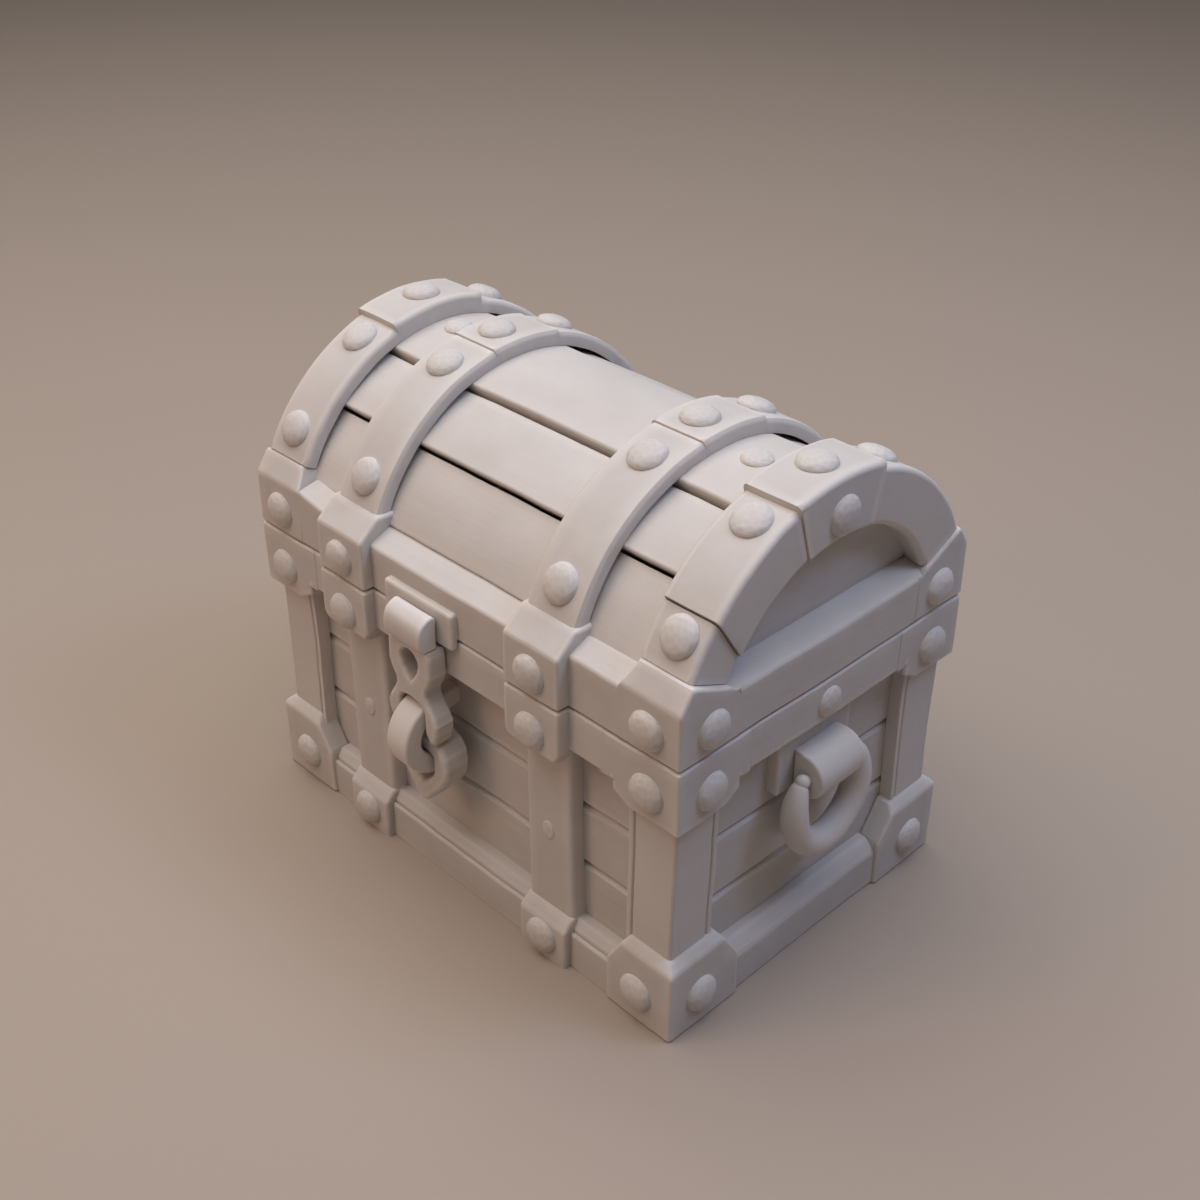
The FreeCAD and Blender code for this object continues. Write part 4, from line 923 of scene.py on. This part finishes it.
def link(outline, back, front, ease):
    """Flat link from half of its outline, with the rims of its front and back faces eased."""
    half = drawn_out(outline, Y, back, front)
    middle = [face for face in half.faces if max(abs(vert.co.x) for vert in face.verts) < SAME_POINT]
    bmesh.ops.delete(half, geom=middle, context="FACES")
    whole = joined([mirrored(half, X), half])
    bmesh.ops.remove_doubles(whole, verts=whole.verts, dist=SAME_POINT)
    bmesh.ops.recalc_face_normals(whole, faces=whole.faces)
    bmesh.ops.translate(whole, vec=(HASP_X, 0, 0), verts=whole.verts)

    def rims(a, b):
        return both_at(a, b, Y, front, SAME_POINT) or both_at(a, b, Y, back, SAME_POINT)

    eased(whole, ease, 3, rims, clamp=False)
    return divided(whole, (1.7, 1.7, 1.7))


def hasp_knuckle():
    """D-shaped barrel of the hasp, round about its pin at the upper back."""
    pin_y, pin_z, turn_radius, half, base, ease = -58.6, 90.2, 1.5, 7.3, 81.6, 0.7
    crown = []
    for turn in (0, 30, 60, 90):
        angle = math.radians(turn)
        crown.append((pin_y + turn_radius * math.cos(angle), pin_z + turn_radius * math.sin(angle)))
    nose = [(-60.2, 91.2), (-61.6, 90.2), (-62.4, 88.9), (-62.8, 86.9), (-62.7, 84.4), (-62.2, 82.6),
            (-61.2, base)]
    bm = drawn_out([(-57.1, base)] + crown + nose, X, HASP_X - half, HASP_X + half)
    eased(bm, ease, 3, lambda a, b: abs(a.x - b.x) < NEAR)
    return divided(bm, (2.5, 0, 0))


def staple():
    """Flat bar bent into a bow, with both legs in the wall, where they grow narrower."""
    root, bow_y, bow_z, bow = -44.5, -55.5, 52.0, 8.5
    half_wide, half_thick, corner, taper = 4.2, 2.8, 1.2, 0.4
    leg_steps, bow_steps = 5, 30
    bm = bmesh.new()
    section = []
    for turn in range(15, 360, 30):
        across, up = math.cos(math.radians(turn)), math.sin(math.radians(turn))
        x = math.copysign(half_wide - corner, across) + corner * across
        z = math.copysign(half_thick - corner, up) + corner * up
        section.append(bm.verts.new((HASP_X + x, root, bow_z - bow + z)))
    ends = [bm.faces.new(section)]

    def reach(distance):
        for _ in range(leg_steps):
            made = bmesh.ops.extrude_face_region(bm, geom=ends)["geom"]
            bmesh.ops.translate(bm, vec=(0, distance / leg_steps, 0), verts=of_kind(bmesh.types.BMVert, made))
            ends[:] = of_kind(bmesh.types.BMFace, made)

    reach(bow_y - root)
    bent = bmesh.ops.spin(bm, geom=ends, cent=(0, bow_y, bow_z), axis=(-1, 0, 0), angle=math.pi,
                          steps=bow_steps)
    ends[:] = of_kind(bmesh.types.BMFace, bent["geom_last"])
    reach(root - bow_y)
    bmesh.ops.remove_doubles(bm, verts=bm.verts, dist=SAME_POINT)
    hidden = [face for face in bm.faces if all(len(edge.link_faces) > 2 for edge in face.edges)]
    bmesh.ops.delete(bm, geom=hidden, context="FACES_ONLY")
    bmesh.ops.recalc_face_normals(bm, faces=bm.faces)
    for vert in bm.verts:
        in_wall = limited((vert.co.y - bow_y) / (root - bow_y))
        vert.co.x = HASP_X + (vert.co.x - HASP_X) * (1.0 - taper * in_wall)
    return bm


plate = drawn_out(PLATE_OUTLINE, X, PLATE_LEFT, PLATE_RIGHT)
eased(plate, PLATE_EASE, 3, lambda a, b: min(a.y, b.y) < PLATE_FRONT + NEAR)
divided(plate, (3.0, 0, 3.0))
fork = link(FORK_OUTLINE, FORK_BACK, FORK_FRONT, FORK_EASE)
lock = link(LOCK_OUTLINE, LOCK_BACK, LOCK_FRONT, LOCK_EASE)
fitting_piece("hasp_link", fork, "hasp", "hasp_fork", 1.3)
fitting_piece("lock_link", lock, "lock_ring", "lock_ring", 1.3)
fitting_piece("hasp_backplate", plate, "lid", "hasp_plate", 1.2)
fitting_piece("hasp_knuckle", hasp_knuckle(), "hasp", "hasp_barrel", 1.2)
eased_copy("hasp_pin", "hasp_hinge_pin", "lid", ring_cast, 0.15)
fitting_piece("staple_loop", staple(), "base", "staple", 1.2)


# Ring handles

RING_X = 81.5
RING_Z = 51.77
RING_RADIUS = 13.8
RING_END = 33.56
PIVOT_Z = 59.4
HANDLE_PLATE_X = 76.6


def handle_ring():
    """Thick ring, open at the top, that thins out to a knob at each end of the barrel."""
    wire, thin_end, thin_span, thin_power = 3.85, 0.50, 48.0, 0.8
    narrower, longer = 0.92, 1.07
    bm = bmesh.new()
    bmesh.ops.create_circle(bm, cap_ends=True, segments=18, radius=wire)
    bmesh.ops.translate(bm, vec=(RING_X, 0, 0), verts=bm.verts)
    turn = Matrix.Rotation(math.radians(RING_END), 3, "X")
    for vert in bm.verts:
        flat = Vector((vert.co.x, vert.co.y + RING_RADIUS, 0))
        vert.co = turn @ flat + Vector((0, 0, RING_Z))
    sweep = math.radians(180 + 2 * RING_END)
    bmesh.ops.spin(bm, geom=all_of(bm), cent=(0, 0, RING_Z), axis=(1, 0, 0), angle=-sweep, steps=44,
                   use_merge=False)
    bmesh.ops.remove_doubles(bm, verts=bm.verts, dist=SAME_POINT)
    bmesh.ops.recalc_face_normals(bm, faces=bm.faces)
    for vert in bm.verts:
        from_end = RING_END - math.degrees(math.atan2(vert.co.z - RING_Z, abs(vert.co.y)))
        thick = math.sin(limited(from_end / thin_span) * math.pi / 2) ** thin_power
        here = math.atan2(vert.co.z - RING_Z, vert.co.y)
        centre = Vector((RING_X, RING_RADIUS * math.cos(here), RING_Z + RING_RADIUS * math.sin(here)))
        vert.co = centre + (vert.co - centre) * (thin_end + (1.0 - thin_end) * thick)
        vert.co.y *= narrower
        vert.co.z = PIVOT_Z + (vert.co.z - PIVOT_Z) * longer
    return joined([bm] + [shape for side in (-1, 1) for shape in ring_end(side)])


def ring_end(side):
    """Knob and pin at one end of a ring."""
    knob_radius, knob_y, knob_z = 1.95, 10.3, 59.7
    pin_radius, pin_length, pin_y = 1.5, 5.0, 8.6
    knob = bmesh.new()
    bmesh.ops.create_icosphere(knob, subdivisions=3, radius=knob_radius)
    bmesh.ops.translate(knob, vec=(RING_X, side * knob_y, knob_z), verts=knob.verts)
    pin = bmesh.new()
    bmesh.ops.create_cone(pin, cap_ends=True, segments=20, radius1=pin_radius, radius2=pin_radius,
                          depth=pin_length)
    bmesh.ops.rotate(pin, cent=(0, 0, 0), matrix=Matrix.Rotation(math.radians(90), 3, "X"), verts=pin.verts)
    bmesh.ops.translate(pin, vec=(RING_X, side * pin_y, PIVOT_Z), verts=pin.verts)
    return knob, pin


def handle_barrel():
    """D-shaped barrel on the right end, with its round side outward."""
    centre_x, centre_z, radius, half = 80.0, 59.6, 6.4, 8.5
    outline = [(HANDLE_PLATE_X, centre_z + radius)]
    for turn in range(0, 181, 15):
        angle = math.radians(turn)
        outline.append((centre_x + radius * math.sin(angle), centre_z + radius * math.cos(angle)))
    outline.append((HANDLE_PLATE_X, centre_z - radius))
    bm = drawn_out(outline, Y, -half, half)
    eased(bm, IRON_EASE, 3, lambda a, b: abs(a.y - b.y) < NEAR)
    return divided(bm, (0, 2.5, 0))


def handle_plate():
    """Plate behind the barrel on the right end."""
    half, base, top = 14.0, 54.1, 72.5
    bm = block(WALL_X, HANDLE_PLATE_X, -half, half, base, top)
    eased(bm, IRON_EASE, 3, lambda a, b: max(a.x, b.x) > HANDLE_PLATE_X - NEAR)
    return divided(bm, (0, 3.0, 3.0))


right_ring = handle_ring()
left_ring = mirrored(right_ring, X)
fitting_piece("handle_ring_right", right_ring, "ring_right", "ring_right", 0.8, 1)
fitting_piece("handle_ring_left", left_ring, "ring_left", "ring_left", 0.8, 1)
fitting_piece("handle_barrels", at_ends(handle_barrel()), "base", "ring_barrels")
fitting_piece("handle_plates", at_ends(handle_plate()), "base", "ring_plates")


# Rivets with hammered heads

GOLDEN_TURN = 2.39996
FULLNESS = 0.86


def hammered_head(radius, height, seed, marks=56):
    """Flattened dome over a short skirt, with small flats as left by a hammer."""
    skirt, reach, stray, shallow, deep = 0.7, 0.93, 0.35, 0.05, 0.13
    chance = random.Random(seed)
    bm = bmesh.new()
    bmesh.ops.create_uvsphere(bm, u_segments=48, v_segments=32, radius=1.0)
    for vert in bm.verts:
        spread = min(1.0, math.hypot(vert.co.x, vert.co.y))
        wider = radius * (spread ** FULLNESS / spread if spread > 0.0001 else 1.0)
        rise = (height if vert.co.z > 0 else skirt) * vert.co.z
        vert.co = Vector((vert.co.x * wider, vert.co.y * wider, rise))
    flats = []
    for index in range(marks):
        share = (index + 0.5) / marks
        turn = index * GOLDEN_TURN + chance.uniform(-stray, stray)
        tilt = math.acos(1.0 - share * reach)
        way = Vector((math.cos(turn), math.sin(turn), 0))
        up = Vector((0, 0, math.cos(tilt)))
        normal = (way * (math.sin(tilt) / radius) + up / height).normalized()
        touch = way * (radius * math.sin(tilt) ** FULLNESS) + up * height
        flats.append((normal, touch, chance.uniform(shallow, deep)))
    for vert in bm.verts:
        if vert.co.z <= 0:
            continue
        for normal, touch, depth in flats:
            over = normal.dot(vert.co - touch) + depth
            if over > 0:
                vert.co -= normal * over
    return bm


def set_in(heads, seats, upright=False):
    """A head at each (seat, outward), upright or each turned its own way."""
    chance = random.Random(len(seats))
    made = []
    for index, (seat, outward) in enumerate(seats):
        head = heads[index % len(heads)].copy()
        turn = Vector((0, 0, 1)).rotation_difference(Vector(outward)).to_matrix()
        spin = Matrix.Rotation(0.0 if upright else chance.uniform(0, 2 * math.pi), 3, "Z")
        bmesh.ops.transform(head, matrix=Matrix.Translation(seat) @ (turn @ spin).to_4x4(), verts=head.verts)
        made.append(head)
    return made


def corner_seats(from_side, from_front, face_x, face_y, height):
    """Seats on the front or back face and on the end face of all four corners."""
    seats = []
    for side in (-1, 1):
        for way in (-1, 1):
            seats.append(((side * from_side, way * face_y, height), (0, way, 0)))
            seats.append(((side * face_x, way * from_front, height), (side, 0, 0)))
    return seats


def arch_seat(x, radius, angle):
    """Seat on the vault or a band."""
    seat = on_vault(x, radius, angle)
    return tuple(seat), tuple(on_vault(0, 1, angle) - Vector((0, 0, VAULT_Z)))


def box_seats():
    """Seats on the feet, the rim and the straps of the box."""
    foot_z, head_z = 7.0, 75.2
    seats = corner_seats(68.6, 42.8, FOOT_BRACKET_X, FOOT_BRACKET_Y, 10.0)
    seats += corner_seats(69.8, 42.6, BRACKET_X, BRACKET_Y, 74.4)
    for x in STRAPS:
        for way in (-1, 1):
            seats.append(((x, way * FOOT_Y, foot_z), (0, way, 0)))
            seats.append(((x, way * HEAD_Y, head_z), (0, way, 0)))
    return seats


def lid_seats():
    """Seats on the corners, the heads and the bands of the lid."""
    head_z, end_x, end_low, end_high, face_radius = 91.9, 70.4, 56.3, 24.2, 46.6
    middle_ridge_angle, end_ridge_angle = 0.6, 0.5
    seats = corner_seats(69.6, 42.8, BRACKET_X, BRACKET_Y, 92.3)
    for x in STRAPS:
        seats.append(((x, -HEAD_Y, head_z), (0, -1, 0)))
        seats += [arch_seat(x, BAND_OUTER, angle) for angle in (58.6, 19.8, -21.8, -58.6)]
        seats.append(arch_seat(x, BAND_OUTER + MIDDLE_LIFT, middle_ridge_angle))
    for side in (-1, 1):
        x = side * end_x
        drop = FOOT_DROP if side > 0 else 0.0
        seats += [arch_seat(x, BAND_OUTER, angle) for angle in (end_high, -end_high, -end_low)]
        seats.append(arch_seat(x, BAND_OUTER - drop, end_low))
        seats.append(arch_seat(x, BAND_OUTER + END_LIFT, end_ridge_angle))
        face_seat, _ = arch_seat(side * (END_FACE + END_PROUD), face_radius, end_ridge_angle)
        seats.append((face_seat, (side, 0, 0)))
    return seats


heads = [hammered_head(5.1, 2.5, seed) for seed in range(5)]
small_heads = [hammered_head(4.1, 1.9, seed, 32) for seed in range(5, 8)]
nail = hammered_head(1.7, 0.6, 9, 8)
bmesh.ops.scale(nail, vec=(1.25, 1.7, 1.0), verts=nail.verts)
rail_seats = [((side * UPPER_X, 0, 78.2), (side, 0, 0)) for side in (-1, 1)]
leaf_seats = [((x, HEAD_Y, 94.1), (0, 1, 0)) for x in STRAPS]
plank_seats = [arch_seat(x, PLANK_LOW, 0.5) for x in (-54.6, 52.7)]
nail_seats = [((x, way * STRAP_Y, 41.0), (0, way, 0)) for x in STRAPS for way in (-1, 1)]
box_rivets = joined(set_in(heads, box_seats()) + set_in(small_heads, rail_seats))
lid_rivets = joined(set_in(heads, lid_seats()) + set_in(small_heads, leaf_seats + plank_seats))
rivet_piece("rivets_box", box_rivets, "base", "body_rivets")
rivet_piece("rivets_lid", lid_rivets, "lid", "lid_rivets")
rivet_piece("nails_strap", joined(set_in([nail], nail_seats, True)), "base", "strap_nails")


# Stage, light and camera, in metres

AIM = (0, 0, 0.06)
LAMPS = (
    ("key_lamp", (-0.15, -0.08, 1.00), 1.2, 10.9, (1.0, 0.985, 0.975)),
    ("cool_lamp", (0.50, 0.32, 0.90), 0.35, 3.0, (0.52, 0.64, 1.0)),
    ("warm_lamp", (-0.45, -0.90, 0.62), 0.45, 2.0, (1.0, 0.55, 0.33)),
)
FLOOR_COLOUR = (0.40, 0.325, 0.265, 1)
FLOOR_HALF = 6.0
WORLD_COLOUR = (0.90, 0.88, 0.87, 1)
WORLD_STRENGTH = 0.08
CAMERA_PLACE = (0.265696, -0.262785, 0.309596)
CAMERA_ANGLES = (45.276, 32.584, 0.2095)
FOCAL_SHARE = 1612.5 / 1200
SENSOR_WIDTH = 36.0


def pale_floor():
    """Plain floor round the chest, as part of the stage."""
    material = bpy.data.materials.new("pale_floor")
    material.use_nodes = True
    surface = material.node_tree.nodes["Principled BSDF"]
    surface.inputs["Base Color"].default_value = FLOOR_COLOUR
    surface.inputs["Roughness"].default_value = 0.9
    mesh = bpy.data.meshes.new("studio_floor")
    bm = bmesh.new()
    bmesh.ops.create_grid(bm, x_segments=1, y_segments=1, size=FLOOR_HALF)
    bm.to_mesh(mesh)
    bm.free()
    mesh.materials.append(material)
    floor = placed("studio_floor", mesh)


def soft_lamp(name, place, size, power, colour):
    """Area lamp that is aimed at the middle of the chest."""
    data = bpy.data.lights.new(name, "AREA")
    data.size = size
    data.energy = power
    data.color = colour
    lamp = placed(name, data)
    lamp.location = place
    lamp.rotation_euler = (Vector(AIM) - Vector(place)).to_track_quat("-Z", "Y").to_euler()


def dim_world():
    """Faint even light from all round."""
    world = bpy.data.worlds.new("studio")
    world.use_nodes = True
    background = world.node_tree.nodes["Background"]
    background.inputs["Color"].default_value = WORLD_COLOUR
    background.inputs["Strength"].default_value = WORLD_STRENGTH
    bpy.context.scene.world = world


def photo_camera():
    """Camera at the photograph's angle, worked out for its square frame."""
    azimuth, elevation, roll = (math.radians(value) for value in CAMERA_ANGLES)
    back = Vector((math.sin(azimuth) * math.cos(elevation), -math.cos(azimuth) * math.cos(elevation),
                   math.sin(elevation)))
    right = Vector((math.cos(azimuth), math.sin(azimuth), 0))
    up = back.cross(right)
    turned_right = right * math.cos(roll) + up * math.sin(roll)
    turned_up = up * math.cos(roll) - right * math.sin(roll)
    data = bpy.data.cameras.new("photo_camera")
    data.sensor_width = SENSOR_WIDTH
    data.lens = SENSOR_WIDTH * FOCAL_SHARE
    data.clip_start = 0.01
    camera = placed("photo_camera", data)
    turn = Matrix((turned_right, turned_up, back)).transposed()
    camera.matrix_world = Matrix.Translation(CAMERA_PLACE) @ turn.to_4x4()
    bpy.context.scene.camera = camera


pale_floor()
for lamp_values in LAMPS:
    soft_lamp(*lamp_values)
dim_world()
photo_camera()
bpy.context.scene.view_settings.view_transform = "Standard"
